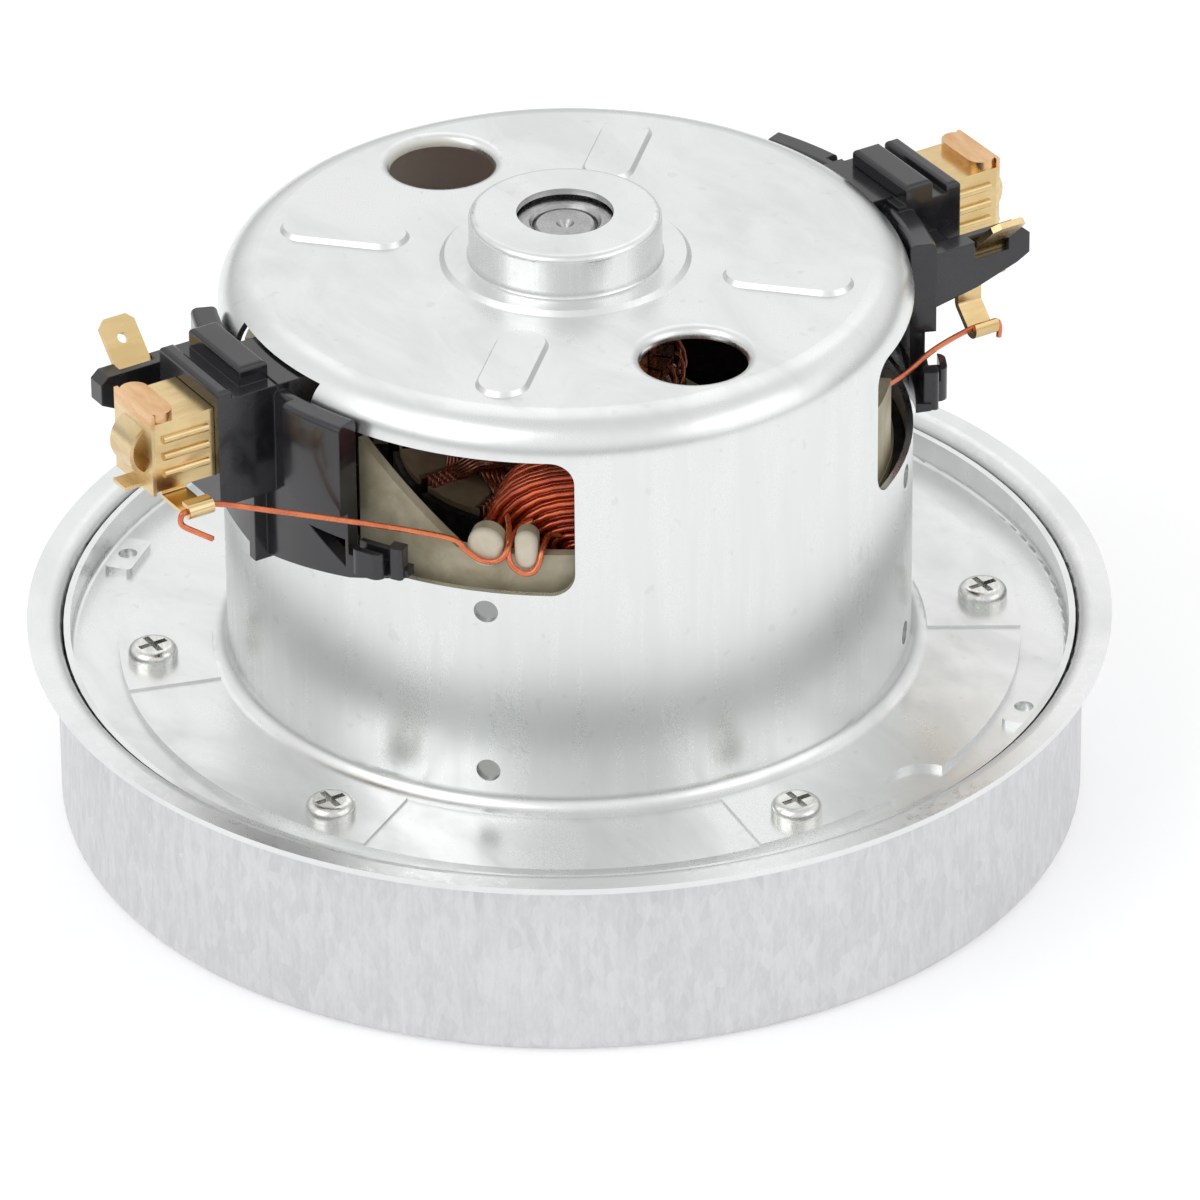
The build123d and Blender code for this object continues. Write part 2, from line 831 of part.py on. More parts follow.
with BuildPart() as impeller_nut:
    with BuildSketch(level(back_plate_bottom - clamp_thickness - nut_height)):
        RegularPolygon(nut_across_flats / 2, 6, major_radius=False)
    extrude(amount=nut_height)
    with BuildSketch(Plane.XZ):
        with BuildLine():
            corner = nut_across_flats / 2 / cos(pi / 6)
            nut_floor = back_plate_bottom - clamp_thickness - nut_height
            Polyline(
                (corner - nut_chamfer, nut_floor),
                (corner, nut_floor),
                (corner, nut_floor + nut_chamfer / 2),
                close=True,
            )
        make_face()
    revolve(axis=Axis.Z, mode=Mode.SUBTRACT)
    with BuildSketch(level(nut_floor)):
        Circle(shaft_radius + press_gap)
    extrude(amount=nut_height, mode=Mode.SUBTRACT)
save(impeller_nut, "impeller_nut")

# Diffuser: a plate above the impeller with curved vanes up to the bracket
diffuser_bottom = back_plate_top + diffuser_gap

with BuildPart() as diffuser:
    with BuildSketch(level(diffuser_bottom)):
        Circle(diffuser_radius)
    extrude(amount=diffuser_sheet)
    for number in range(vane_count):
        with BuildSketch(level(diffuser_bottom, number * 360 / vane_count)):
            curved_vane(vane_inner_radius, vane_outer_radius, vane_sweep, vane_arc_radius, vane_thickness)
        extrude(amount=plate_bottom - diffuser_bottom)
    with BuildSketch(level(plate_bottom)):
        Circle(drum_radius)
        Circle(vane_step_radius, mode=Mode.SUBTRACT)
    extrude(amount=-vane_step_depth, mode=Mode.SUBTRACT)
    with BuildSketch(level(diffuser_bottom)):
        Circle(spacer_radius + running_gap)
    extrude(amount=diffuser_sheet, mode=Mode.SUBTRACT)
save(diffuser, "diffuser")

# Stator core: yoke, two necks and two pole shoes
stator_bore = armature_radius + air_gap
stator_radius = can_inner_radius - press_gap


def pole_outline(shoe_outer, half_width, reach, half_angle):
    """Draw the two poles, shoes and necks, around an empty bore."""
    for middle in (90, 270):
        ring_sector(stator_bore, shoe_outer, middle - half_angle, 2 * half_angle)
    Rectangle(2 * half_width, 2 * reach)
    Circle(stator_bore, mode=Mode.SUBTRACT)


with BuildPart() as stator_core:
    with BuildSketch(level(core_bottom)):
        Circle(stator_radius)
        Circle(yoke_inner_radius, mode=Mode.SUBTRACT)
        pole_outline(shoe_outer_radius, pole_neck_half_width, yoke_inner_radius + overrun, shoe_half_angle)
    extrude(amount=core_top - core_bottom)
save(stator_core, "stator_core")

# Field coils: the plain body of each coil, in the slots on both sides of its pole
coil_radius = turn_radius - wire_radius - fold_gap
last_turn_top = first_turn_top + (turn_count - 1) * head_pitch
last_turn_bottom = first_turn_bottom - (turn_count - 1) * turn_pitch
liner_half_width = pole_neck_half_width + liner_thickness
liner_reach = sqrt(yoke_inner_radius**2 - liner_half_width**2) - seat_gap
opening_bottom = core_bottom - insulator_thickness - seat_gap
opening_top = core_top + insulator_thickness + seat_gap

for place, turn in (("front", 270), ("rear", 90)):
    with BuildPart() as field_coil:
        with BuildSketch(level(last_turn_bottom, turn)):
            ring_sector(coil_inner_radius, coil_radius, -coil_half_angle, 2 * coil_half_angle)
        extrude(amount=last_turn_top - last_turn_bottom)
        corners = field_coil.edges().filter_by(GeomType.LINE).filter_by(Axis.Z, reverse=True)
        fillet(corners, coil_round)
        with BuildSketch(level(opening_bottom, turn)):
            between(0, can_radius, -liner_half_width - seat_gap, liner_half_width + seat_gap)
        extrude(amount=opening_top - opening_bottom, mode=Mode.SUBTRACT)
    save(field_coil, f"field_coil_{place}")


def on_cylinder(angle, sideways, height):
    """A point beside the cylinder of the turns, moved along the tangent at an angle."""
    a = radians(angle)
    return Vector(turn_radius * cos(a) - sideways * sin(a), turn_radius * sin(a) + sideways * cos(a), height)


def corner_arc(angle, side, size, height, upper, leaving):
    """Quarter turn of the wire at one corner of the coil, from arc to side or back."""
    rise = size if upper else -size
    bend = [
        on_cylinder(angle, side * size * sin(radians(step)), height - rise + rise * cos(radians(step)))
        for step in (0, 45, 90)
    ]
    if not leaving:
        bend.reverse()
    return ThreePointArc(*bend)


# Field windings: one unbroken wire laid in a flat spiral over the outside of each coil
middle_height = (core_bottom + core_top) / 2
half_pitch = turn_pitch / 2

for place, turn in (("front", 270), ("rear", 90)):
    with BuildPart() as field_winding:
        with BuildLine() as wire_path:
            here = on_cylinder(turn + turn_bend_angle, first_turn_offset, middle_height)
            for number in range(turn_count):
                right_size = first_turn_offset + number * turn_pitch
                left_size = right_size + half_pitch
                head = first_turn_top + number * head_pitch
                foot = first_turn_bottom - number * turn_pitch
                rise = corner_arc(turn + turn_bend_angle, 1, right_size, head, True, False)
                Line(here, rise @ 0)
                crown = on_cylinder(turn, 0, head)
                over = ThreePointArc(rise @ 1, crown, on_cylinder(turn - turn_bend_angle, 0, head))
                fall = corner_arc(turn - turn_bend_angle, -1, left_size, head, True, True)
                if number == turn_count - 1:
                    Line(fall @ 1, on_cylinder(turn - turn_bend_angle, -left_size, middle_height))
                    break
                under = corner_arc(turn - turn_bend_angle, -1, left_size, foot, False, False)
                Line(fall @ 1, under @ 0)
                sole = on_cylinder(turn, 0, foot)
                ThreePointArc(under @ 1, sole, on_cylinder(turn + turn_bend_angle, 0, foot))
                back = corner_arc(turn + turn_bend_angle, 1, right_size + turn_pitch, foot, False, True)
                here = back @ 1
        start = wire_path.line @ 0
        with BuildSketch(Plane(origin=start, z_dir=wire_path.line % 0)):
            Circle(wire_radius)
        sweep(path=wire_path.line)
    save(field_winding, f"field_winding_{place}")
    runs = wire_path.line.edges()
    least = min(
        far.distance_to(run @ share)
        for number, run in enumerate(runs)
        for far in runs[number + 4:]
        for share in (0, 1 / 4, 1 / 2, 3 / 4, 1)
    )
    print(f"field winding {place}: least gap between turns {least - 2 * wire_radius:.3f} mm")

# Armature core: laminated, with slots open at the rim
slot_floor = shaft_radius + core_back
slot_depth = armature_radius - slot_floor
slot_width = slot_width_share * 2 * pi * slot_floor / slot_count


def armature_outline(rim, bore):
    """Draw the slotted disc of the armature."""
    Circle(rim)
    with PolarLocations(0, slot_count):
        with Locations((slot_floor + slot_depth / 2 - slot_lip, 0)):
            Rectangle(slot_depth, slot_width, mode=Mode.SUBTRACT)
        with Locations((armature_radius, 0)):
            Rectangle(slot_depth, slot_mouth, mode=Mode.SUBTRACT)
    Circle(bore, mode=Mode.SUBTRACT)


with BuildPart() as armature_core:
    with BuildSketch(level(core_bottom)):
        armature_outline(armature_radius, shaft_radius + press_gap)
    extrude(amount=core_top - core_bottom)
save(armature_core, "armature_core")

with BuildPart() as armature_end_insulators:
    for floor in (core_bottom - fibre_thickness, core_top):
        with BuildSketch(level(floor)):
            armature_outline(armature_radius - fibre_thickness, shaft_radius + press_gap)
        extrude(amount=fibre_thickness)
save(armature_end_insulators, "armature_end_insulators")

# Armature winding: bars in the slots and a grooved head at each end
lower_head = core_bottom - fibre_thickness - winding_head_height
upper_head = core_top + fibre_thickness

with BuildPart() as armature_winding:
    for floor in (lower_head, upper_head):
        with BuildSketch(level(floor)):
            Circle(winding_head_radius)
            Circle(winding_inner_radius, mode=Mode.SUBTRACT)
        extrude(amount=winding_head_height)
    outer_rims = armature_winding.edges().filter_by(GeomType.CIRCLE).group_by(Axis.Z)
    rounded = [group.sort_by(SortBy.RADIUS)[-1] for group in (outer_rims[0], outer_rims[-1])]
    fillet(rounded, winding_round)
    for number in range(slot_count):
        for height in (lower_head, upper_head + winding_head_height):
            with BuildSketch(facing(winding_inner_radius, (number + 1 / 2) * 360 / slot_count)):
                with Locations((0, height)):
                    Circle(winding_groove_radius)
            extrude(amount=winding_head_radius, mode=Mode.SUBTRACT)
    with BuildSketch(level(core_bottom - fibre_thickness)):
        with PolarLocations(slot_floor + slot_depth / 2 - slot_lip, slot_count):
            Rectangle(slot_depth - 2 * seat_gap, slot_width - 2 * seat_gap)
    extrude(amount=upper_head - core_bottom + fibre_thickness)
save(armature_winding, "armature_winding")

# Commutator: copper bars with risers, on a moulded hub
slit_angle = degrees(bar_slit / bar_radius)
bar_angle = 360 / bar_count

with BuildPart() as commutator_bars:
    for outer, height in ((bar_radius, commutator_top - commutator_bottom), (riser_radius, riser_height)):
        with BuildSketch(level(commutator_bottom)):
            for number in range(bar_count):
                start = number * bar_angle + slit_angle / 2
                ring_sector(bar_inner_radius, outer, start, bar_angle - slit_angle)
        extrude(amount=height)
save(commutator_bars, "commutator_bars")

with BuildPart() as commutator_hub:
    with BuildSketch(level(commutator_bottom - hub_lip)):
        Circle(bar_inner_radius - press_gap)
        Circle(shaft_radius + press_gap, mode=Mode.SUBTRACT)
    extrude(amount=commutator_top - commutator_bottom + 2 * hub_lip)
    rims = commutator_hub.edges().filter_by(GeomType.CIRCLE).sort_by(SortBy.RADIUS)[-2:]
    chamfer(rims, hub_chamfer)
save(commutator_hub, "commutator_hub")


def coil_insulator(face, outward, inner_wall_end, outer_wall_end, name):
    """Moulded frame on one end face of the stator core, with walls that hold the coils."""
    wall_inner = outer_wall_radius - outer_wall_thickness
    wall_outer_face = outer_wall_radius - seat_gap
    wall_inner_face = wall_inner + seat_gap
    wall_floor = face + outward * insulator_thickness / 2
    with BuildPart() as insulator:
        with BuildSketch(level(face)):
            Circle(outer_wall_radius)
            Circle(wall_inner, mode=Mode.SUBTRACT)
            pole_outline(
                shoe_outer_radius + inner_wall_thickness,
                liner_half_width,
                wall_inner + overrun,
                shoe_half_angle,
            )
        extrude(amount=outward * insulator_thickness)
        for turn in (0, 180):
            start = turn - outer_wall_angles[1]
            with BuildSketch(level(wall_floor)):
                ring_sector(
                    wall_inner_face, wall_outer_face, start, outer_wall_angles[1] - outer_wall_angles[0]
                )
            extrude(amount=outer_wall_end - wall_floor)
        if outward > 0:
            for turn in (0, 180):
                middle = (outer_wall_angles[1] + ramp_angle) / 2
                half = outer_wall_radius * sin(radians(outer_wall_angles[1] - middle))
                with BuildSketch(facing(0, turn - middle)):
                    with BuildLine():
                        Polyline(
                            (outer_wall_radius, outer_wall_top),
                            (half, outer_wall_top),
                            (-half, ramp_top),
                            (-half - overrun, ramp_top + overrun),
                            (outer_wall_radius, ramp_top + overrun),
                            close=True,
                        )
                    make_face()
                extrude(amount=outer_wall_radius + overrun, mode=Mode.SUBTRACT)
            for turn in (0, 180):
                with BuildSketch(level(wall_floor)):
                    ring_sector(
                        wall_inner_face,
                        wall_outer_face,
                        turn - far_wall_angles[1],
                        far_wall_angles[1] - far_wall_angles[0],
                    )
                extrude(amount=far_wall_top - wall_floor)
                for angle, width in zip(post_angles, post_widths):
                    with BuildPart(mode=Mode.PRIVATE) as post:
                        with BuildSketch(facing(wall_inner, turn - angle)):
                            with Locations((0, post_top - post_height / 2)):
                                SlotOverall(post_height, width, rotation=90)
                        extrude(amount=post_depth)
                        outer_face = post.faces().sort_by_distance((0, 0, post_top))[-1]
                        fillet(outer_face.edges(), post_round)
                    add(post.part)
        with BuildSketch(level(wall_floor)):
            for middle in (90, 270):
                ring_sector(
                    shoe_outer_radius,
                    shoe_outer_radius + inner_wall_thickness - seat_gap,
                    middle - inner_wall_half_angle,
                    2 * inner_wall_half_angle,
                )
        extrude(amount=inner_wall_end - wall_floor)
        with BuildSketch(level(wall_floor)):
            for side_x in (-1, 1):
                for side_y in (-1, 1):
                    between(
                        side_x * (pole_neck_half_width + press_gap),
                        side_x * (liner_half_width - press_gap),
                        side_y * (coil_inner_radius + seat_gap),
                        side_y * liner_reach,
                    )
        extrude(amount=face - wall_floor - outward * liner_length)
    save(insulator, name)


coil_insulator(core_top, 1, inner_wall_top, ramp_top, "coil_insulator_upper")
coil_insulator(core_bottom, -1, lower_wall_bottom, lower_wall_bottom, "coil_insulator_lower")

# Brass brush tube, with ribs on its flanks and a wire foot folded from its underside
tube_bottom = brush_axis_height - tube_height / 2
tube_top = brush_axis_height + tube_height / 2
tube_bore_width = tube_width - 2 * tube_wall
tube_bore_height = tube_height - 2 * tube_wall
fold_radius = lead_radius + fold_gap
foot_floor = tube_bottom - foot_drop

with BuildPart() as brush_tube:
    with BuildSketch(facing(tube_inner_end)):
        with Locations((0, brush_axis_height)):
            Rectangle(tube_width, tube_height)
    extrude(amount=tube_outer_end - tube_inner_end)
    with BuildSketch(facing(core_outer + tube_rib_inset)):
        for side in (-1, 1):
            with Locations((side * tube_width / 2, brush_axis_height)):
                with GridLocations(tube_width, tube_rib_spacing, 1, tube_rib_count):
                    Circle(tube_rib_radius)
    extrude(amount=tube_outer_end - core_outer - 2 * tube_rib_inset)
    with BuildSketch(facing(tube_inner_end)):
        with Locations((0, brush_axis_height)):
            Rectangle(tube_bore_width, tube_bore_height)
    extrude(amount=tube_outer_end - tube_inner_end, mode=Mode.SUBTRACT)
    with BuildSketch(facing(foot_start)):
        with BuildLine():
            strip = FilletPolyline(
                (foot_inner, tube_bottom + tube_wall / 2),
                (foot_inner, foot_floor),
                (foot_reach, foot_floor),
                radius=foot_sheet + fold_radius / 2,
            )
            curl = fold_radius + foot_sheet
            fold = ThreePointArc(
                strip @ 1, (foot_reach + curl, foot_floor + curl), (foot_reach, foot_floor + 2 * curl)
            )
            Line(fold @ 1, (foot_reach - curl, foot_floor + 2 * curl))
            offset(amount=foot_sheet, side=Side.LEFT)
        make_face()
    extrude(amount=foot_width)
save_twins(brush_tube, "brush_tube_right", "brush_tube_left")

# Cap over the outer end of the tube: plate, bowed strip, folded ear and a small foot
with BuildPart() as brush_cap:
    with BuildSketch(facing(tube_outer_end)):
        between(-tube_width / 2, tube_width / 2, tube_bottom - cap_sheet, tube_top + cap_ear_height)
    extrude(amount=cap_sheet)
    with BuildSketch(level(tube_top)):
        with Locations((tube_outer_end + cap_sheet - cap_ear_width / 2, 0)):
            SlotOverall(tube_width, cap_ear_width, rotation=90)
    extrude(amount=cap_ear_height)
    with BuildSketch(level(tube_bottom)):
        between(tube_outer_end, tube_outer_end + cap_foot_length, -cap_foot_width / 2, cap_foot_width / 2)
    extrude(amount=-cap_sheet)
    with BuildSketch(Plane.XZ.offset(-cap_bow_width / 2)):
        with BuildLine():
            ThreePointArc(
                (tube_outer_end + cap_sheet / 2, tube_bottom + cap_bow_margin),
                (tube_outer_end + cap_sheet + cap_bow, brush_axis_height),
                (tube_outer_end + cap_sheet / 2, tube_top - cap_bow_margin),
            )
            offset(amount=cap_sheet, side=Side.LEFT)
        make_face()
    extrude(amount=cap_bow_width)
save_twins(brush_cap, "brush_cap_right", "brush_cap_left")

# Carbon brush, hollowed at its tip to the commutator, and the spring behind it
brush_tip = bar_radius + brush_contact_gap
brush_back = brush_tip + brush_length

with BuildPart() as carbon_brush:
    with BuildSketch(facing(0)):
        with Locations((0, brush_axis_height)):
            Rectangle(tube_bore_width - 2 * brush_clear, tube_bore_height - 2 * brush_clear)
    extrude(amount=brush_back)
    with BuildSketch(level(commutator_bottom)):
        Circle(brush_tip)
    extrude(amount=boss_top - commutator_bottom, mode=Mode.SUBTRACT)
save_twins(carbon_brush, "carbon_brush_right", "carbon_brush_left")

spring_start = brush_back + seat_gap + spring_wire_radius
spring_length = tube_outer_end - seat_gap - spring_wire_radius - spring_start

with BuildPart() as brush_spring:
    with BuildLine() as coil_path:
        Helix(
            spring_length / spring_turns,
            spring_length,
            spring_radius,
            center=(spring_start, 0, brush_axis_height),
            direction=(1, 0, 0),
        )
    spring_end = coil_path.line @ 0
    with BuildSketch(Plane(origin=spring_end, z_dir=coil_path.line % 0)):
        Circle(spring_wire_radius)
    sweep(path=coil_path.line, is_frenet=True)
save_twins(brush_spring, "brush_spring_right", "brush_spring_left")

# Black moulded holder on each side of the can, built on the right
holder_radius = can_radius + saddle_gap

with BuildPart() as brush_holder:
    with BuildSketch(level(arch_bottom)):
        saddle_outer = holder_radius + saddle_thickness
        ring_sector(holder_radius, saddle_outer, -saddle_half_angle, 2 * saddle_half_angle)
    extrude(amount=saddle_top - arch_bottom)
    with BuildSketch(level(saddle_top)):
        ring_sector(holder_radius, saddle_outer, -plate_half_angle, 2 * plate_half_angle)
    extrude(amount=plate_top - saddle_top)
    for side in (-1, 1):
        with BuildSketch(facing(0)):
            with BuildLine():
                arch = [(side * y, z) for y, z in saddle_arch]
                arch_end = arch[-1][0]
                Polyline(*arch, (arch_end, arch_bottom - overrun), (0, arch_bottom - overrun), close=True)
            make_face()
        extrude(amount=core_outer, mode=Mode.SUBTRACT)
    with BuildSketch(level(block_bottom)):
        for side, start in zip((-1, 1), block_start_angles):
            block_size = side * (plate_half_angle - start)
            ring_sector(holder_radius, holder_radius + block_thickness, side * start, block_size)
    extrude(amount=plate_top - block_bottom)
    fillet(brush_holder.edges(Select.LAST).filter_by(GeomType.CIRCLE).group_by(Axis.Z)[-1], block_round)
    corner_place = (*around(holder_radius + block_thickness, block_start_angles[1:])[0], block_bottom)
    straight_edges = brush_holder.edges().filter_by(GeomType.LINE)
    short_edges = straight_edges.filter_by(lambda edge: edge.length < block_thickness)
    fillet(short_edges.sort_by_distance(corner_place)[0], block_corner)
    for side in (-1, 1):
        half = side * barb_width / 2
        with BuildSketch(facing(0, side * barb_angle)):
            with BuildLine():
                Polyline((-half, barb_top), (half, barb_top), (half, barb_bottom), close=True)
            make_face()
        extrude(amount=core_outer, mode=Mode.SUBTRACT)
    hook_size = prong_start_angle - prong_slit_angle - hook_start_angle
    prong_size = saddle_half_angle - hook_setback - prong_start_angle
    for side, top in zip((1, -1), hook_tops):
        for start, size, reach, height, corner in (
            (hook_start_angle, hook_size, hook_thickness, top, hook_round),
            (prong_start_angle, prong_size, prong_thickness, top + prong_lift, prong_round),
        ):
            with BuildSketch(level(hook_bottom)):
                inner = holder_radius + saddle_thickness / 2
                ring_sector(inner, holder_radius + reach, side * start, side * size)
            extrude(amount=height - hook_bottom)
            uprights = brush_holder.edges(Select.LAST).filter_by(GeomType.LINE).filter_by(Axis.Z)
            fillet(uprights.sort_by(lambda edge: edge.center().X ** 2 + edge.center().Y ** 2)[-2:], corner)
        with BuildSketch(level(top)):
            slot_start = holder_radius + hook_slot_inner
            slot_end = slot_start + hook_slot_width
            ring_sector(slot_start, slot_end, side * hook_start_angle, side * hook_size)
        extrude(amount=-hook_slot_depth, mode=Mode.SUBTRACT)
    with BuildSketch(level(arch_bottom)):
        between(holder_radius, rib_outer, rib_near, rib_far)
    extrude(amount=core_bottom_height - arch_bottom)
    with BuildSketch(level(core_bottom_height)):
        between(core_inner, core_outer, -core_far_side, core_near_side)
    extrude(amount=core_top_height - core_bottom_height)
    for start, end, low, high, top in (
        (fin_start, fin_end, -core_far_side, fin_side, fin_top),
        (core_outer - outer_fin_thickness, core_outer, -core_far_side, core_near_side, outer_fin_top),
    ):
        with BuildSketch(level(core_top_height)):
            between(start, end, low, high)
        extrude(amount=top - core_top_height)
        fillet(brush_holder.edges(Select.LAST).group_by(Axis.Z)[-1], fin_round)
    half_bore_width = tube_width / 2 + guide_clear
    half_bore_height = tube_height / 2 + guide_clear
    with BuildSketch(facing(guide_inner_end)):
        with Locations((0, brush_axis_height)):
            Rectangle(2 * (half_bore_width + guide_wall), 2 * (half_bore_height + guide_wall))
    extrude(amount=core_inner - guide_inner_end + overrun)
    with BuildSketch(facing(guide_inner_end)):
        with Locations((0, brush_axis_height)):
            Rectangle(2 * half_bore_width, 2 * half_bore_height)
    extrude(amount=core_outer - guide_inner_end, mode=Mode.SUBTRACT)
    with BuildSketch(Plane.XZ.offset(wall_near)):
        with BuildLine():
            Polyline(*wall_outline, close=True)
        make_face()
    extrude(amount=wall_far - wall_near)
    with BuildSketch(level(bridge_bottom)):
        between(wall_start, bridge_outer, -wall_near - overrun, -core_far_side + overrun)
    extrude(amount=bridge_top - bridge_bottom)
    with BuildSketch(level(arch_bottom)):
        between(
            blade_start - blade_clear,
            blade_end + blade_clear,
            -blade_side - blade_sheet / 2 - blade_clear,
            -blade_side + blade_sheet / 2 + blade_clear,
        )
    extrude(amount=blade_top + blade_clear - arch_bottom, mode=Mode.SUBTRACT)
    with BuildSketch(level(blade_top - 2 * blade_clear)):
        between(
            tab_start - 2 * blade_clear,
            tab_start + tab_width + 2 * blade_clear,
            -wall_far - overrun,
            -blade_side + blade_sheet / 2 + blade_clear,
        )
    extrude(amount=plate_top - blade_top, mode=Mode.SUBTRACT)
save_twins(brush_holder, "brush_holder_right", "brush_holder_left")

# Line terminal in the holder wall
blade_face = -blade_side + blade_sheet / 2

with BuildPart() as line_terminal:
    with BuildSketch(Plane.XZ.offset(-blade_face)):
        between(blade_start, blade_end, blade_bottom, blade_top)
    extrude(amount=blade_sheet)
    with BuildSketch(facing(tab_start)):
        with BuildLine():
            FilletPolyline(
                (blade_face, blade_top - blade_sheet),
                (blade_face, blade_top + tab_bend_radius),
                (blade_face - tab_reach, blade_top + tab_bend_radius + tab_reach),
                radius=blade_sheet + tab_bend_radius,
            )
            offset(amount=blade_sheet, side=Side.LEFT)
        make_face()
    extrude(amount=tab_width)
    tip = line_terminal.faces().sort_by(Axis.Z)[-1]
    chamfer(tip.edges().sort_by(SortBy.LENGTH)[:2], tab_chamfer)
    hole_height = blade_top + tab_bend_radius + tab_hole_place
    hole_place = (tab_start + tab_width / 2, blade_face - tab_hole_place, hole_height)
    with BuildSketch(Plane(origin=hole_place, x_dir=(1, 0, 0), z_dir=(0, 1, 1))):
        Circle(tab_hole_radius)
    extrude(amount=tab_reach, both=True, mode=Mode.SUBTRACT)
    with BuildSketch(facing(blade_start)):
        with BuildLine():
            leg = FilletPolyline(
                (blade_face, blade_bottom + blade_sheet),
                (blade_face, line_foot_bend),
                (blade_face - line_foot_reach, line_foot_bend - line_foot_reach),
                radius=blade_sheet + fold_radius,
            )
            curl = (fold_radius + blade_sheet) / sqrt(2)
            out = (leg @ 1) + Vector(-2 * curl, 0)
            fold = ThreePointArc(leg @ 1, out, out + Vector(0, 2 * curl))
            offset(amount=blade_sheet, side=Side.RIGHT)
        make_face()
    extrude(amount=line_foot_width)
save_twins(line_terminal, "line_terminal_right", "line_terminal_left")


def bent_wire(points, bend):
    """Draw straight runs through the points, joined by arcs of one radius."""
    points = [Vector(*point) for point in points]
    here = points[0]
    for before, corner, after in zip(points, points[1:], points[2:]):
        leaving = (corner - before).normalized()
        coming = (after - corner).normalized()
        half_turn = radians(leaving.get_angle(coming)) / 2
        start = corner - leaving * bend * tan(half_turn)
        end = corner + coming * bend * tan(half_turn)
        middle = corner + (coming - leaving).normalized() * bend * (1 / cos(half_turn) - 1)
        Line(here, start)
        ThreePointArc(start, middle, end)
        here = end
    Line(here, points[-1])


def at(radius, angle, height):
    """A point given by its radius, angle and height."""
    return (radius * cos(radians(angle)), radius * sin(radians(angle)), height)


# Leads: from the tube foot round a post to one coil, and from the terminal foot to the other
foot_wire = foot_floor + foot_sheet + fold_radius
foot_end = foot_start + foot_width
line_wire_side = blade_face - line_foot_reach - curl
line_wire_height = line_foot_bend - line_foot_reach + curl
line_foot_end = blade_start + line_foot_width

for points, right_name, left_name in (
    (
        (
            (foot_end - tail_length, foot_reach + tail_length, foot_floor - tail_length),
            (foot_end + lead_bend, foot_reach, foot_floor - lead_bend),
            (foot_end + lead_bend, foot_reach, foot_wire),
            (foot_start - lead_radius, foot_reach, foot_wire),
            at(post_wire_radius, post_wire_angles[0], post_wire_height),
            at(post_wire_radius, post_wire_angles[1], post_wire_height),
            at(lead_end_radius, post_wire_angles[1], post_wire_height),
        ),
        "lead_rear_right",
        "lead_front_left",
    ),
    (
        (
            (line_foot_end + lead_bend, line_wire_side, line_wire_height - tail_length),
            (line_foot_end + lead_bend, line_wire_side, line_wire_height),
            (blade_start - lead_radius, line_wire_side, line_wire_height),
            at(hook_wire_radius, hook_wire_angle, hook_wire_height),
            at(window_wire_radius, window_wire_angle, window_wire_height),
            at(lead_end_radius, coil_wire_angle, coil_wire_height),
        ),
        "lead_front_right",
        "lead_rear_left",
    ),
):
    with BuildPart() as lead:
        with BuildLine() as lead_path:
            bent_wire(points, lead_bend)
        lead_start = lead_path.line @ 0
        with BuildSketch(Plane(origin=lead_start, z_dir=lead_path.line % 0)):
            Circle(lead_radius)
        sweep(path=lead_path.line)
    save_twins(lead, right_name, left_name)
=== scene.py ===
import json
import math

import bpy
import numpy as np
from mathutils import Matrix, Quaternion, Vector


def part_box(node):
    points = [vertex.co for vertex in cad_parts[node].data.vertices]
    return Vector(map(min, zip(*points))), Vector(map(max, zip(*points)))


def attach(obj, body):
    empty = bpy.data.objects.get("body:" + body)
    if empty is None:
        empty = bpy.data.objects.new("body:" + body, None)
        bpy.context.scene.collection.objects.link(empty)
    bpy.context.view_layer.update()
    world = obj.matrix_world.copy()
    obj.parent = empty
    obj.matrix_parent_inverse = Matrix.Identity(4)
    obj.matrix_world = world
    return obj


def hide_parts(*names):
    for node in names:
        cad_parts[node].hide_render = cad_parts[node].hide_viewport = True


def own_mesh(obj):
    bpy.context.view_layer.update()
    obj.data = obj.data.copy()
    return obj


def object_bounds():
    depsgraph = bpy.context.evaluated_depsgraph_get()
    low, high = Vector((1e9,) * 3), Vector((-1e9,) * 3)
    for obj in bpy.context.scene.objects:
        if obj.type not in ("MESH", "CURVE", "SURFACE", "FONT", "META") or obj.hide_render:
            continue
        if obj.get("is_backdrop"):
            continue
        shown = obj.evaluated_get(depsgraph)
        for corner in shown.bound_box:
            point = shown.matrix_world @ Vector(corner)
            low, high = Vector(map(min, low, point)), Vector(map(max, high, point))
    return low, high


# Vacuum motor unit: finishes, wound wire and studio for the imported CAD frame. Lengths are metres.

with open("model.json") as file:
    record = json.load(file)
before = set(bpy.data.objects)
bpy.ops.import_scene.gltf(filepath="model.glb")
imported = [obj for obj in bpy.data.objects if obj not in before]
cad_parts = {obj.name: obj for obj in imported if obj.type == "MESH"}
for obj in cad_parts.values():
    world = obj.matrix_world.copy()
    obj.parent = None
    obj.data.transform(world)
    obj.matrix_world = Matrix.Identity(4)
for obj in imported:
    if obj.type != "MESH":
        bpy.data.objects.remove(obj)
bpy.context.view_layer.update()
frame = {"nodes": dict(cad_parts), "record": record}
scene = bpy.context.scene
nodes = frame["nodes"]
mm = 0.001

# Bands of height or radius on the CAD over which a finish changes
# Where the can's inner wall takes a duller finish and an olive painted-shade tint
can_inside_rise = (40.0 * mm, 45.0 * mm)
can_inside_depth = (-30.0 * mm, -15.0 * mm)
# The three dent bands place the stamped dents, which are painted dark as shade
dent_radii = (42.15 * mm, 42.45 * mm)
dent_outward = (30.0 * mm, 36.0 * mm)
dent_heights = (65.5 * mm, 66.5 * mm)
lip_rise = (22.6 * mm, 24.0 * mm)
# Radius past which the insulator posts are painted lighter as lit
post_radii = (40.2 * mm, 40.4 * mm)
cap_ear_rise = (70.0 * mm, 71.0 * mm)
wrap_radius = 50.0 * mm
sheets_per_metre = 2000.0
white = (1.0, 1.0, 1.0)


def rgba(value):
    return (*value, 1.0) if isinstance(value, tuple) and len(value) == 3 else value


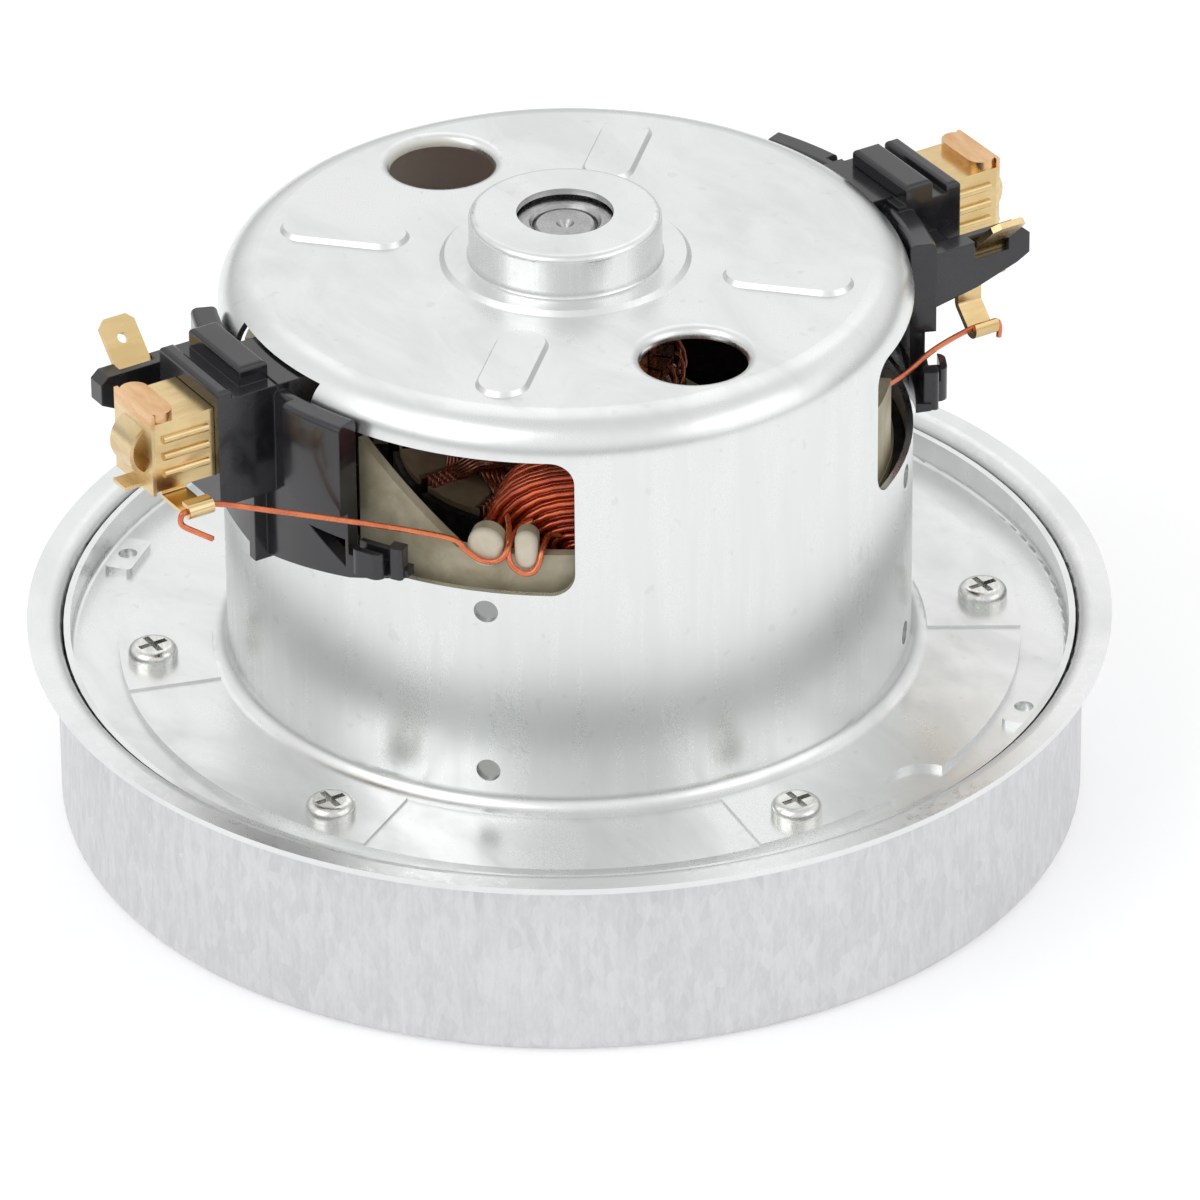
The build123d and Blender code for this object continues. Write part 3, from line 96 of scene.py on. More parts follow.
class Tree:
    """Short names for the nodes of one material."""

    def __init__(self, name):
        self.material = bpy.data.materials.new(name)
        self.material.use_nodes = True
        self.nodes = self.material.node_tree.nodes
        self.links = self.material.node_tree.links
        self.nodes.clear()
        output = self.nodes.new("ShaderNodeOutputMaterial")
        self.shader = self.nodes.new("ShaderNodeBsdfPrincipled")
        self.links.new(self.shader.outputs[0], output.inputs[0])
        self.place = self.nodes.new("ShaderNodeTexCoord").outputs["Object"]
        self.normal = self.nodes.new("ShaderNodeNewGeometry").outputs["Normal"]

    def feed(self, socket, value):
        if isinstance(value, bpy.types.NodeSocket):
            self.links.new(value, socket)
        elif value is not None:
            socket.default_value = value

    def set(self, **values):
        for name, value in values.items():
            self.feed(self.shader.inputs[name.replace("_", " ")], value)

    def split(self, vector):
        node = self.nodes.new("ShaderNodeSeparateXYZ")
        self.feed(node.inputs[0], vector)
        return node.outputs

    def join(self, x, y, z):
        node = self.nodes.new("ShaderNodeCombineXYZ")
        for socket, value in zip(node.inputs, (x, y, z)):
            self.feed(socket, value)
        return node.outputs[0]

    def math(self, kind, a, b=None):
        node = self.nodes.new("ShaderNodeMath")
        node.operation = kind
        for socket, value in zip(node.inputs, (a, b)):
            self.feed(socket, value)
        return node.outputs[0]

    def times(self, a, b):
        return self.math("MULTIPLY", a, b)

    def add(self, a, b):
        return self.math("ADD", a, b)

    def weigh(self, *terms):
        """Sum of fields, each of them times its share."""
        total = self.times(*terms[0])
        for field, share in terms[1:]:
            total = self.add(total, self.times(field, share))
        return total

    def stretch(self, vector, scale):
        node = self.nodes.new("ShaderNodeMapping")
        self.feed(node.inputs["Vector"], vector)
        node.inputs["Scale"].default_value = scale
        return node.outputs[0]

    def noise(self, vector, scale, detail=2.0, rough=0.5, warp=0.0):
        node = self.nodes.new("ShaderNodeTexNoise")
        self.feed(node.inputs["Vector"], vector)
        settings = {"Scale": scale, "Detail": detail, "Roughness": rough, "Distortion": warp}
        for name, value in settings.items():
            node.inputs[name].default_value = value
        return node.outputs["Fac"]

    def cells(self, vector, scale):
        """One random value for each cell."""
        node = self.nodes.new("ShaderNodeTexVoronoi")
        self.feed(node.inputs["Vector"], vector)
        node.inputs["Scale"].default_value = scale
        return self.split(node.outputs["Color"])[0]

    def range(self, value, low, high, out_low=0.0, out_high=1.0):
        """The value eased from one range to another and held at its ends."""
        node = self.nodes.new("ShaderNodeMapRange")
        node.interpolation_type = "SMOOTHSTEP"
        for socket, number in zip(node.inputs, (value, low, high, out_low, out_high)):
            self.feed(socket, number)
        return node.outputs[0]

    def fall(self, value, low, high):
        """One below the low end, nothing above the high end."""
        return self.range(value, low, high, 1.0, 0.0)

    def mix(self, share, first, second):
        node = self.nodes.new("ShaderNodeMix")
        node.data_type = "RGBA"
        self.feed(node.inputs[0], share)
        self.feed(node.inputs[6], rgba(first))
        self.feed(node.inputs[7], rgba(second))
        return node.outputs[2]

    def bump(self, height, strength, depth, under=None):
        node = self.nodes.new("ShaderNodeBump")
        node.inputs["Strength"].default_value = strength
        node.inputs["Distance"].default_value = depth
        self.feed(node.inputs["Height"], height)
        self.feed(node.inputs["Normal"], under)
        return node.outputs[0]

    def worn_edges(self, radius):
        """Normal that rounds sharp edges by a small radius."""
        node = self.nodes.new("ShaderNodeBevel")
        node.samples = 4
        node.inputs["Radius"].default_value = radius
        return node.outputs[0]

    def wrapped(self):
        """Place unrolled round the shaft: arc length, height, radius."""
        x, y, z = self.split(self.place)
        radius = self.math("SQRT", self.add(self.times(x, x), self.times(y, y)))
        return self.times(self.math("ARCTAN2", y, x), wrap_radius), z, radius


def zinc(name, bright, dull, inside_shade_tint, dent_shade_colour, low, high):
    """Zinc-plated sheet: drawn streaks on walls, faint smears and scuffs on flats, painted shade in the
    stamped dents and an olive painted-shade tint on the can's inner wall.
    """
    t = Tree(name)
    arc, z, radius = t.wrapped()
    x, y, _ = t.split(t.place)
    nx, ny, nz = t.split(t.normal)
    outward = t.add(t.times(x, nx), t.times(y, ny))
    inside = t.times(t.fall(outward, *can_inside_depth), t.range(z, *can_inside_rise))
    # Painted shade: the stamped dents are painted dark grey where shade falls in the dimple
    dent_shade = t.times(t.times(t.fall(radius, *dent_radii), t.range(outward, *dent_outward)),
                   t.fall(z, *dent_heights))
    wall = t.fall(t.math("ABSOLUTE", nz), 0.35, 0.75)
    flat = t.math("SUBTRACT", 1.0, wall)
    drawn = t.noise(t.join(arc, t.times(z, 0.10), radius), scale=420.0, detail=3.0, rough=0.55, warp=0.3)
    smear = t.noise(t.stretch(t.place, (1.0, 0.45, 1.0)), scale=95.0, detail=5.0, rough=0.62, warp=0.6)
    cloud = t.noise(t.place, scale=38.0, detail=3.0, rough=0.55, warp=0.3)
    grain = t.noise(t.place, scale=5200.0, detail=2.0, rough=0.6)
    speck = t.noise(t.place, scale=420.0, detail=2.0, rough=0.5, warp=0.2)
    spots = t.range(speck, 0.66, 0.74)
    wall_wear = t.times(wall, t.range(drawn, 0.3, 0.75))
    flat_wear = t.times(flat, t.range(smear, 0.38, 0.72))
    shade = t.weigh((t.weigh((wall_wear, 0.30), (flat_wear, 1.0)), 0.7), (cloud, 0.3))
    colour = t.mix(shade, bright, dull)
    colour = t.mix(t.times(spots, 0.25), colour, tuple(channel * 0.8 for channel in dull))
    # Painted shade tint: the inner wall is tinted olive to copy its look in shade; the same mask also gives
    # it a rougher, less metallic finish
    colour = t.mix(inside, colour, inside_shade_tint)
    colour = t.mix(dent_shade, colour, dent_shade_colour)
    rough = t.add(t.range(shade, 0.0, 1.0, low, high), t.weigh((grain, 0.05), (inside, 0.35)))
    height = t.add(t.times(drawn, wall), t.times(smear, 0.4))
    relief = t.bump(height, strength=0.08, depth=0.06 * mm)
    relief = t.bump(grain, strength=0.05, depth=0.02 * mm, under=relief)
    t.set(Base_Color=colour, Metallic=t.range(inside, 0.0, 1.0, 1.0, 0.35), Roughness=rough, Normal=relief)
    return t.material


def galvanised(name, wall_colours, lip_colours):
    """Galvanised drum: upright spangle on the wall, smoother zinc on lip and corner."""
    t = Tree(name)
    arc, z, radius = t.wrapped()
    tall = t.join(arc, t.times(z, 0.28), radius)
    wobble = t.noise(tall, scale=1500.0, detail=4.0, rough=0.7, warp=0.8)
    spangle = t.cells(tall, scale=1150.0)
    patch = t.noise(t.join(arc, t.times(z, 0.6), radius), scale=75.0, detail=3.0, rough=0.55, warp=0.4)
    streak = t.noise(t.join(arc, t.times(z, 0.05), radius), scale=1500.0, detail=2.0, rough=0.6)
    shade = t.weigh((wobble, 0.42), (spangle, 0.13), (patch, 0.25), (streak, 0.20))
    lip = t.range(z, *lip_rise)
    wall_colour = t.mix(t.range(shade, 0.3, 0.7), *wall_colours)
    lip_colour = t.mix(t.range(patch, 0.3, 0.7), *lip_colours)
    rough = t.add(t.range(shade, 0.3, 0.7, 0.44, 0.60), t.times(lip, -0.20))
    t.set(Base_Color=t.mix(lip, wall_colour, lip_colour), Roughness=rough,
          Metallic=t.range(lip, 0.0, 1.0, 0.78, 1.0), Normal=t.bump(shade, strength=0.10, depth=0.12 * mm))
    return t.material


def turned(name, light, dark, low, high):
    """Turned or ground metal: fine rings round the shaft."""
    t = Tree(name)
    arc, z, radius = t.wrapped()
    rings = t.noise(t.join(t.times(arc, 0.02), z, radius), scale=4200.0, detail=3.0, rough=0.6)
    stain = t.noise(t.place, scale=260.0, detail=3.0, rough=0.55)
    shade = t.weigh((rings, 0.6), (stain, 0.4))
    t.set(Base_Color=t.mix(t.range(shade, 0.3, 0.7), light, dark), Metallic=1.0,
          Roughness=t.range(shade, 0.3, 0.7, low, high),
          Normal=t.bump(rings, strength=0.08, depth=0.03 * mm))
    return t.material


def metal(name, light, dark, low, high, scale=700.0, squash=(1.0, 1.0, 1.0), strength=0.08):
    """Plain worked metal with brushed or pressed variation."""
    t = Tree(name)
    brushed = t.noise(t.stretch(t.place, squash), scale, detail=4.0, rough=0.62, warp=0.2)
    stain = t.noise(t.place, scale=130.0, detail=3.0, rough=0.5, warp=0.4)
    shade = t.weigh((brushed, 0.6), (stain, 0.4))
    t.set(Base_Color=t.mix(t.range(shade, 0.32, 0.68), light, dark), Metallic=1.0,
          Roughness=t.range(shade, 0.32, 0.68, low, high),
          Normal=t.bump(brushed, strength, depth=0.05 * mm))
    return t.material


def insulator(name, wall_colours, lit_post_colours):
    """Cream moulding with painted light and shade: its walls inside the can painted darker olive as shade,
    its two outstanding posts painted lighter as lit.
    """
    t = Tree(name)
    radius = t.wrapped()[2]
    mottle = t.noise(t.place, scale=150.0, detail=4.0, rough=0.6, warp=0.4)
    skin = t.noise(t.place, scale=2600.0, detail=2.0, rough=0.5)
    shade = t.range(mottle, 0.35, 0.68)
    # Painted light and shade: the walls take the darker olive colours as painted shade, the posts the
    # lighter colours as painted light
    colour = t.mix(t.range(radius, *post_radii), t.mix(shade, *wall_colours), t.mix(shade, *lit_post_colours))
    relief = t.bump(mottle, strength=0.04, depth=0.2 * mm)
    relief = t.bump(skin, strength=0.06, depth=0.03 * mm, under=relief)
    t.set(Base_Color=colour, Roughness=t.add(t.range(mottle, 0.3, 0.7, 0.38, 0.5), t.times(skin, 0.05)),
          Normal=relief)
    return t.material


def brush_cap(name, strip_colours, ear_colours):
    """Pale brass strip with a coppery ear folded over its top."""
    t = Tree(name)
    z = t.split(t.place)[2]
    brushed = t.noise(t.stretch(t.place, (1.0, 0.3, 1.0)), scale=500.0, detail=3.0, rough=0.6)
    shade = t.range(brushed, 0.32, 0.68)
    colour = t.mix(t.range(z, *cap_ear_rise), t.mix(shade, *strip_colours), t.mix(shade, *ear_colours))
    t.set(Base_Color=colour, Metallic=1.0, Roughness=t.range(brushed, 0.3, 0.7, 0.24, 0.38),
          Normal=t.bump(brushed, strength=0.05, depth=0.04 * mm))
    return t.material


def laminated(name, light, dark, gap_colour):
    """Stacked dark steel sheets with a rusty tinge between them."""
    t = Tree(name)
    z = t.split(t.place)[2]
    gap = t.fall(t.math("FRACT", t.times(z, sheets_per_metre)), 0.0, 0.18)
    stain = t.noise(t.place, scale=300.0, detail=4.0, rough=0.6, warp=0.3)
    colour = t.mix(t.range(stain, 0.35, 0.7), light, dark)
    t.set(Base_Color=t.mix(t.times(gap, 0.7), colour, gap_colour), Metallic=0.85,
          Roughness=t.range(stain, 0.3, 0.7, 0.42, 0.62),
          Normal=t.bump(t.math("SUBTRACT", 1.0, gap), strength=0.35, depth=0.06 * mm))
    return t.material


def enamel(name, light, dark):
    """Enamelled copper wire under a clear varnish."""
    t = Tree(name)
    tone = t.noise(t.place, scale=240.0, detail=3.0, rough=0.6, warp=0.5)
    fine = t.noise(t.place, scale=1100.0, detail=2.0, rough=0.5)
    shade = t.range(t.weigh((tone, 0.8), (fine, 0.2)), 0.35, 0.65)
    t.set(Base_Color=t.mix(shade, light, dark), Metallic=0.6, Roughness=t.range(fine, 0.3, 0.7, 0.20, 0.30),
          Coat_Weight=0.9, Coat_Roughness=0.08, Normal=t.bump(fine, strength=0.03, depth=0.02 * mm))
    return t.material


def moulded(name, light, dark, low, high, strength=0.06, scale=900.0, coat=0.0):
    """Moulded plastic: slight mottling, flow marks and a fine skin."""
    t = Tree(name)
    mottle = t.noise(t.place, scale * 0.12, detail=3.0, rough=0.55, warp=0.3)
    skin = t.noise(t.place, scale=2600.0, detail=2.0, rough=0.5)
    flow = t.noise(t.stretch(t.place, (1.0, 0.25, 1.0)), scale * 0.35, detail=3.0, rough=0.6, warp=0.6)
    shade = t.range(t.weigh((mottle, 0.6), (flow, 0.4)), 0.35, 0.65)
    edges = t.bump(mottle, strength=0.03, depth=0.2 * mm, under=t.worn_edges(0.3 * mm))
    t.set(Base_Color=t.mix(shade, light, dark), Coat_Weight=coat, Coat_Roughness=0.08,
          Roughness=t.add(t.range(flow, 0.3, 0.7, low, high), t.times(skin, 0.03)),
          Normal=t.bump(skin, strength, depth=0.03 * mm, under=edges))
    return t.material


# Finish of each material slot: its light and dark colour, its least and greatest roughness
materials = {
    "zinc_sheet": zinc(
        # The inner wall's olive colour is a painted shade tint
        "zinc_sheet_finish", (0.82, 0.83, 0.825), (0.70, 0.715, 0.71), inside_shade_tint=(0.78, 0.78, 0.70),
        # The dents' dark grey is painted shade
        dent_shade_colour=(0.34, 0.35, 0.34), low=0.24, high=0.38),
    "galvanised_sheet": galvanised(
        "galvanised_sheet_finish", wall_colours=((0.765, 0.765, 0.775), (0.665, 0.667, 0.68)),
        lip_colours=((0.83, 0.84, 0.835), (0.76, 0.775, 0.77))),
    "zinc_screws": turned("zinc_screw_finish", (0.83, 0.83, 0.80), (0.62, 0.62, 0.60), 0.16, 0.30),
    "lamination_steel": laminated(
        "lamination_finish", (0.20, 0.20, 0.205), (0.12, 0.105, 0.095), gap_colour=(0.03, 0.028, 0.026)),
    # Ground steel painted darker as shade: its colours are lowered to the bearing face's look in shade
    "ground_steel": turned("ground_steel_shaded_finish", (0.50, 0.50, 0.50), (0.34, 0.34, 0.34), 0.20, 0.36),
    "spring_steel": metal("spring_steel_finish", (0.55, 0.55, 0.56), (0.36, 0.36, 0.37), 0.22, 0.36),
    "fan_aluminium": metal(
        "fan_aluminium_finish", (0.80, 0.81, 0.82), (0.66, 0.67, 0.69), 0.26, 0.42,
        squash=(1.0, 0.12, 1.0)),
    "copper_enamel": enamel("copper_enamel_finish", (0.86, 0.14, 0.035), (0.50, 0.06, 0.02)),
    "copper_bar": turned("copper_bar_finish", (0.80, 0.42, 0.27), (0.55, 0.26, 0.15), 0.20, 0.36),
    "brass_strip": metal(
        "brass_strip_finish", (0.77, 0.59, 0.32), (0.63, 0.46, 0.22), 0.18, 0.30, scale=420.0,
        squash=(0.2, 1.0, 1.0), strength=0.04),
    "black_plastic": moulded(
        "black_moulding_finish", (0.012, 0.012, 0.014), (0.022, 0.022, 0.026), 0.14, 0.24, coat=0.25),
    "cream_insulator": insulator(
        # Walls painted darker olive as shade, posts painted lighter as lit
        "cream_moulding_finish", wall_colours=((0.54, 0.49, 0.36), (0.37, 0.32, 0.21)),
        lit_post_colours=((0.74, 0.68, 0.55), (0.62, 0.55, 0.42))),
    "grey_plastic": moulded("grey_moulding_finish", (0.10, 0.10, 0.105), (0.06, 0.06, 0.065), 0.40, 0.55),
    "brown_moulding": moulded("brown_moulding_finish", (0.20, 0.10, 0.05), (0.12, 0.055, 0.025), 0.35, 0.5),
    "fibre_board": moulded(
        "fibre_board_finish", (0.50, 0.38, 0.24), (0.38, 0.28, 0.17), 0.6, 0.8, strength=0.3, scale=1400.0),
    "carbon": moulded(
        "carbon_finish", (0.035, 0.035, 0.038), (0.02, 0.02, 0.022), 0.42, 0.6, strength=0.25,
        scale=1800.0),
}
cap_finish = brush_cap(
    "brush_cap_finish", strip_colours=((0.78, 0.62, 0.38), (0.66, 0.50, 0.27)),
    ear_colours=((0.80, 0.52, 0.29), (0.66, 0.39, 0.19)))
armature_finish = enamel("armature_enamel_finish", (0.52, 0.15, 0.06), (0.34, 0.08, 0.04))
lead_finish = enamel("lead_enamel_finish", (0.84, 0.23, 0.07), (0.62, 0.13, 0.045))

slot_of = {part["node"]: part["material_slot"] for part in frame["record"]["subparts"]}
for name, node in nodes.items():
    finish = cap_finish if name.startswith("brush_cap") else materials[slot_of[name]]
    if node.data.materials:
        for number in range(len(node.data.materials)):
            node.data.materials[number] = finish
    else:
        node.data.materials.append(finish)

# A wire that starts this close to upright takes its first side from another axis
upright_limit = 1e-3


def tubes(name, paths, radius, sides):
    """One mesh of round wires along lists of points, each end closed by a dome point."""
    places, faces = [], []
    ring = np.linspace(0.0, 2.0 * math.pi, sides, endpoint=False)
    for path in paths:
        path = np.asarray(path, float)
        along = np.gradient(path, axis=0)
        along /= np.linalg.norm(along, axis=1)[:, None]
        side = np.cross(along[0], (0.0, 0.0, 1.0))
        if np.linalg.norm(side) < upright_limit:
            side = np.cross(along[0], (1.0, 0.0, 0.0))
        side /= np.linalg.norm(side)
        start = len(places)
        for point, direction in zip(path, along):
            side = side - direction * np.dot(side, direction)
            side /= np.linalg.norm(side)
            other = np.cross(direction, side)
            places.extend(point + radius * (math.cos(a) * side + math.sin(a) * other) for a in ring)
        for row in range(len(path) - 1):
            low = start + row * sides
            for number in range(sides):
                after = (number + 1) % sides
                faces.append((low + number, low + after, low + sides + after, low + sides + number))
        first, last = len(places), len(places) + 1
        places.append(path[0] - along[0] * radius / 2)
        places.append(path[-1] + along[-1] * radius / 2)
        end = start + (len(path) - 1) * sides
        for number in range(sides):
            after = (number + 1) % sides
            faces.append((start + after, start + number, first))
            faces.append((end + number, end + after, last))
    mesh = bpy.data.meshes.new(name)
    mesh.from_pydata([tuple(p) for p in places], [], faces)
    mesh.polygons.foreach_set("use_smooth", [True] * len(mesh.polygons))
    mesh.update()
    piece = bpy.data.objects.new(name, mesh)
    scene.collection.objects.link(piece)
    return piece


def dress(piece, body, slot, *replaced, finish=None):
    """Give a new piece its body, its finish, and the CAD nodes it stands for."""
    piece.data.materials.append(finish or materials[slot])
    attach(piece, body)
    if replaced:
        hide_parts(*replaced)
    return piece


# Field coils: many layers of enamelled wire, each an unbroken spiral round the pole
coil_wire = 0.39 * mm
head_low, head_high = 52.5 * mm, 64.3 * mm
foot_high, foot_low = 30.4 * mm, 21.8 * mm
outer_turn, inner_turn = 34.55 * mm, 27.5 * mm
layer_pitch, side_pitch = 0.80 * mm, 0.80 * mm
first_corner = 1.2 * mm
pole_half_angle = math.radians(41.2)
inner_bend, outer_bend = math.radians(27.8), math.radians(25.0)
core_end = 49.4 * mm
flare_run, flare_share = 5.5 * mm, 0.20
head_stray, turn_stray, layer_stray = 0.12 * mm, 0.05 * mm, 0.07 * mm
smoothing = (0.25, 0.5, 0.25)
corner_steps, end_steps, side_steps = 7, 11, 7
coil_sides = 7
coil_seed = 11


def coil_layer(radius, middle, rng):
    """Points of one flat spiral of wire on a cylinder about the shaft."""
    share = (radius - inner_turn) / (outer_turn - inner_turn)
    bend = inner_bend + (outer_bend - inner_bend) * share
    turns = int(((pole_half_angle - bend) * radius - first_corner) / side_pitch)
    head_step = (head_high - head_low) / turns
    foot_step = (foot_high - foot_low) / turns
    points = []

    def corner(side, size, height, to_middle, upper):
        """A quarter turn at one corner, laid toward the middle of the pole or away from it."""
        steps = np.linspace(0.0, math.pi / 2, corner_steps)
        for step in steps[::-1] if to_middle else steps:
            drop = size * (1.0 - math.cos(step))
            points.append((side * (bend + size * math.sin(step) / radius),
                           height - drop if upper else height + drop))

    for turn in range(turns):
        size = first_corner + turn * side_pitch
        wider, widest = size + side_pitch / 2, size + side_pitch
        head = head_low + turn * head_step + rng.uniform(-head_stray, head_stray)
        foot = foot_high - turn * foot_step
        ends = np.linspace(-bend, bend, end_steps)[1:-1]
        upright = np.linspace(foot + size, head - size, side_steps)[1:-1]
        corner(1, size, head, to_middle=True, upper=True)
        points += [(angle, head + rng.uniform(-turn_stray, turn_stray)) for angle in ends[::-1]]
        corner(-1, wider, head, to_middle=False, upper=True)
        points += [(-bend - wider / radius, height) for height in upright[::-1]]
        corner(-1, wider, foot, to_middle=True, upper=False)
        points += [(angle, foot) for angle in ends]
        corner(1, widest, foot, to_middle=False, upper=False)
        points += [(bend + widest / radius, height) for height in upright]
    wander = np.convolve(rng.uniform(-layer_stray, layer_stray, len(points)), smoothing, "same")
    line = []
    for (angle, height), stray in zip(points, wander):
        above = min(max((height - core_end) / flare_run, 0.0), 1.0)
        turned_by = middle + angle * (1.0 + flare_share * above * above * (3.0 - 2.0 * above))
        reach = radius - abs(stray)
        line.append((reach * math.cos(turned_by), reach * math.sin(turned_by), height))
    return line


for number, (place, turn) in enumerate((("front", 270), ("rear", 90))):
    rng = np.random.default_rng(coil_seed + number)
    layers = np.arange(outer_turn, inner_turn, -layer_pitch)
    coil = tubes(f"field_coil_wires_{place}",
                 [coil_layer(radius, math.radians(turn), rng) for radius in layers], coil_wire, coil_sides)
    dress(coil, "motor_body", "copper_enamel", f"field_coil_{place}", f"field_winding_{place}")

# Armature winding: bundles of finer wire from slot to slot over both ends of the core
armature_wire, armature_sides = 0.36 * mm, 6
slots, throw = 12, 5
coil_wires, wires_across = 20, 5
across_pitch, stack_pitch = 0.62 * mm, 0.75 * mm
slot_middle, slot_inset_share = 16.4 * mm, 0.6
shaft_room, shaft_stack_share, shaft_stray = 10.6 * mm, 0.9, 0.4 * mm
head_rise, head_stack_share, wire_stray = 1.4 * mm, 0.4, 0.03 * mm
bulge_share, crown_power = 0.6, 0.45
strand_steps = 15
slot_dip = 0.9 * mm
level_low, level_span = 0.2 * mm, 4.9 * mm
core_faces = ((48.8 * mm, 1), (31.2 * mm, -1))
slot_floor, row_pitch, slot_rows = 12.6 * mm, 0.82 * mm, 9
slot_columns = np.array((-1.35, -0.45, 0.45, 1.35)) * 0.95 * mm
slot_heights = np.linspace(31.4, 48.6, 4) * mm
armature_seed = 5


def slot_axes(slot):
    """Outward and sideways directions at one slot."""
    angle = math.radians(360.0 / slots * slot)
    return np.array((math.cos(angle), math.sin(angle))), np.array((-math.sin(angle), math.cos(angle)))


def head_strand(first, level, strand, face, outward, rng):
    """One wire leaving a slot, crossing the head beside the shaft and entering another slot."""
    out_a, side_a = slot_axes(first)
    out_b, side_b = slot_axes(first + throw)
    across = (strand % wires_across - wires_across // 2) * across_pitch
    stack = strand // wires_across * stack_pitch
    start = out_a * (slot_middle - stack * slot_inset_share)
    end = out_b * (slot_middle - stack * slot_inset_share)
    middle = (start + end) / 2
    reach = shaft_room + stack * shaft_stack_share + rng.uniform(0.0, shaft_stray)
    middle *= reach / np.linalg.norm(middle)
    bow = 2 * middle - (start + end) / 2
    rise = head_rise + level + stack * head_stack_share
    inner = face - outward * slot_dip
    points = [(*(start + side_a * across), inner)]
    for share in np.linspace(0.0, 1.0, strand_steps):
        spread = across * (1.0 + bulge_share * math.sin(math.pi * share))
        x, y = ((1 - share) ** 2 * start + 2 * share * (1 - share) * bow + share ** 2 * end
                + ((1 - share) * side_a - share * side_b) * spread)
        crown = rise * math.sin(math.pi * share) ** crown_power
        points.append((x, y, face + outward * (crown + rng.uniform(-wire_stray, wire_stray))))
    points.append((*(end - side_b * across), inner))
    return points


rng = np.random.default_rng(armature_seed)
strands = []
for face, outward in core_faces:
    for first in range(slots):
        level = level_low + level_span * first / (slots - 1)
        strands += [head_strand(first, level, strand, face, outward, rng) for strand in range(coil_wires)]
for slot in range(slots):
    outwards, sideways = slot_axes(slot)
    for row in range(slot_rows):
        for column in slot_columns:
            x, y = outwards * (slot_floor + row_pitch * row) + sideways * column
            strands.append([(x, y, height) for height in slot_heights])
armature = tubes("armature_wires", strands, armature_wire, armature_sides)
dress(armature, "rotor", "copper_enamel", "armature_winding", finish=armature_finish)

# Wire ends from the upper winding head to the risers of the commutator
bars = 24
riser_wire, riser_sides = 0.3 * mm, 6
riser_lag = math.radians(11.0)
# Radius in millimetres, share of the lag, height in millimetres
riser_profile = (
    (13.4, 0.0, 61.3), (14.0, 0.0, 60.9), (14.5, 0.25, 60.0), (14.6, 0.6, 58.8), (14.2, 1.0, 57.2),
    (13.6, 1.2, 55.8),
)
ends = []
for number in range(bars):
    middle = math.radians(360.0 / bars * (number + 0.5))
    ends.append([(radius * mm * math.cos(middle - riser_lag * share),
                  radius * mm * math.sin(middle - riser_lag * share), height * mm)
                 for radius, share, height in riser_profile])
risers = tubes("commutator_wire_ends", ends, riser_wire, riser_sides)
dress(risers, "rotor", "copper_enamel", finish=armature_finish)

# Leads: from the foot of each brush tube round the posts, and from each terminal over the hook
lead_wire, lead_sides = 0.37 * mm, 10
knot_steps = 10


def polar(radius, angle, height):
    """A point in millimetres from its radius, angle and height."""
    return radius * math.cos(math.radians(angle)), radius * math.sin(math.radians(angle)), height


def smooth(points):
    """A rounded line through points in millimetres, in metres."""
    knots = [np.array(point, float) * mm for point in points]
    knots = [2 * knots[0] - knots[1], *knots, 2 * knots[-1] - knots[-2]]
    line = []
    for a, b, c, d in zip(knots, knots[1:], knots[2:], knots[3:]):
        for t in np.linspace(0.0, 1.0, knot_steps, endpoint=False):
            line.append(0.5 * (2 * b + (c - a) * t + (2 * a - 5 * b + 4 * c - d) * t ** 2
                               + (3 * b - a - 3 * c + d) * t ** 3))
    return [*line, knots[-2]]


tube_lead = (
    (56.6, 11.2, 57.6), (58.0, 9.9, 58.3), (59.4, 8.9, 59.2), (59.6, 8.9, 60.4), (58.8, 8.9, 60.9),
    (55.2, 8.9, 60.9), (49.0, 13.6, 60.2), (42.0, 19.1, 59.3), (36.4, 23.4, 58.4), polar(41.8, 39.4, 57.4),
    polar(41.75, 41.4, 56.2), polar(41.8, 44.0, 55.1), polar(41.75, 46.4, 55.1), polar(41.6, 47.8, 55.8),
    polar(40.6, 48.4, 56.6), polar(38.8, 48.6, 57.0), polar(36.4, 49.4, 57.0), polar(35.3, 51.6, 57.3),
)
post_loop = (
    polar(35.4, 46.6, 57.8), polar(37.4, 47.6, 57.6), polar(39.8, 48.2, 57.0), polar(41.3, 48.6, 55.6),
    polar(41.8, 49.4, 54.6), polar(41.8, 51.0, 53.8), polar(41.7, 52.6, 53.9), polar(41.2, 53.6, 54.8),
    polar(40.4, 54.0, 56.0), polar(38.6, 54.4, 56.3), polar(36.2, 55.0, 55.9), polar(35.4, 57.0, 55.4),
)
terminal_lead = (
    (52.2, -17.42, 55.5), (52.3, -17.42, 56.9), (51.8, -17.42, 57.82), (50.4, -17.42, 57.82),
    (47.6, -17.5, 57.82), polar(45.5, -25.4, 57.9), polar(41.6, -32.0, 57.5), polar(37.8, -38.6, 57.0),
    polar(36.4, -44.0, 56.4), polar(35.4, -50.0, 56.0), polar(35.3, -54.0, 56.2),
)
for half, tube_node, terminal_node in ((1, "lead_rear_right", "lead_front_right"),
                                       (-1, "lead_front_left", "lead_rear_left")):
    for node, routes in ((tube_node, (tube_lead, post_loop)), (terminal_node, (terminal_lead,))):
        lines = [smooth([(half * x, half * y, z) for x, y, z in route]) for route in routes]
        dress(tubes(f"{node}_wire", lines, lead_wire, lead_sides), "motor_body", "copper_enamel", node,
              finish=lead_finish)

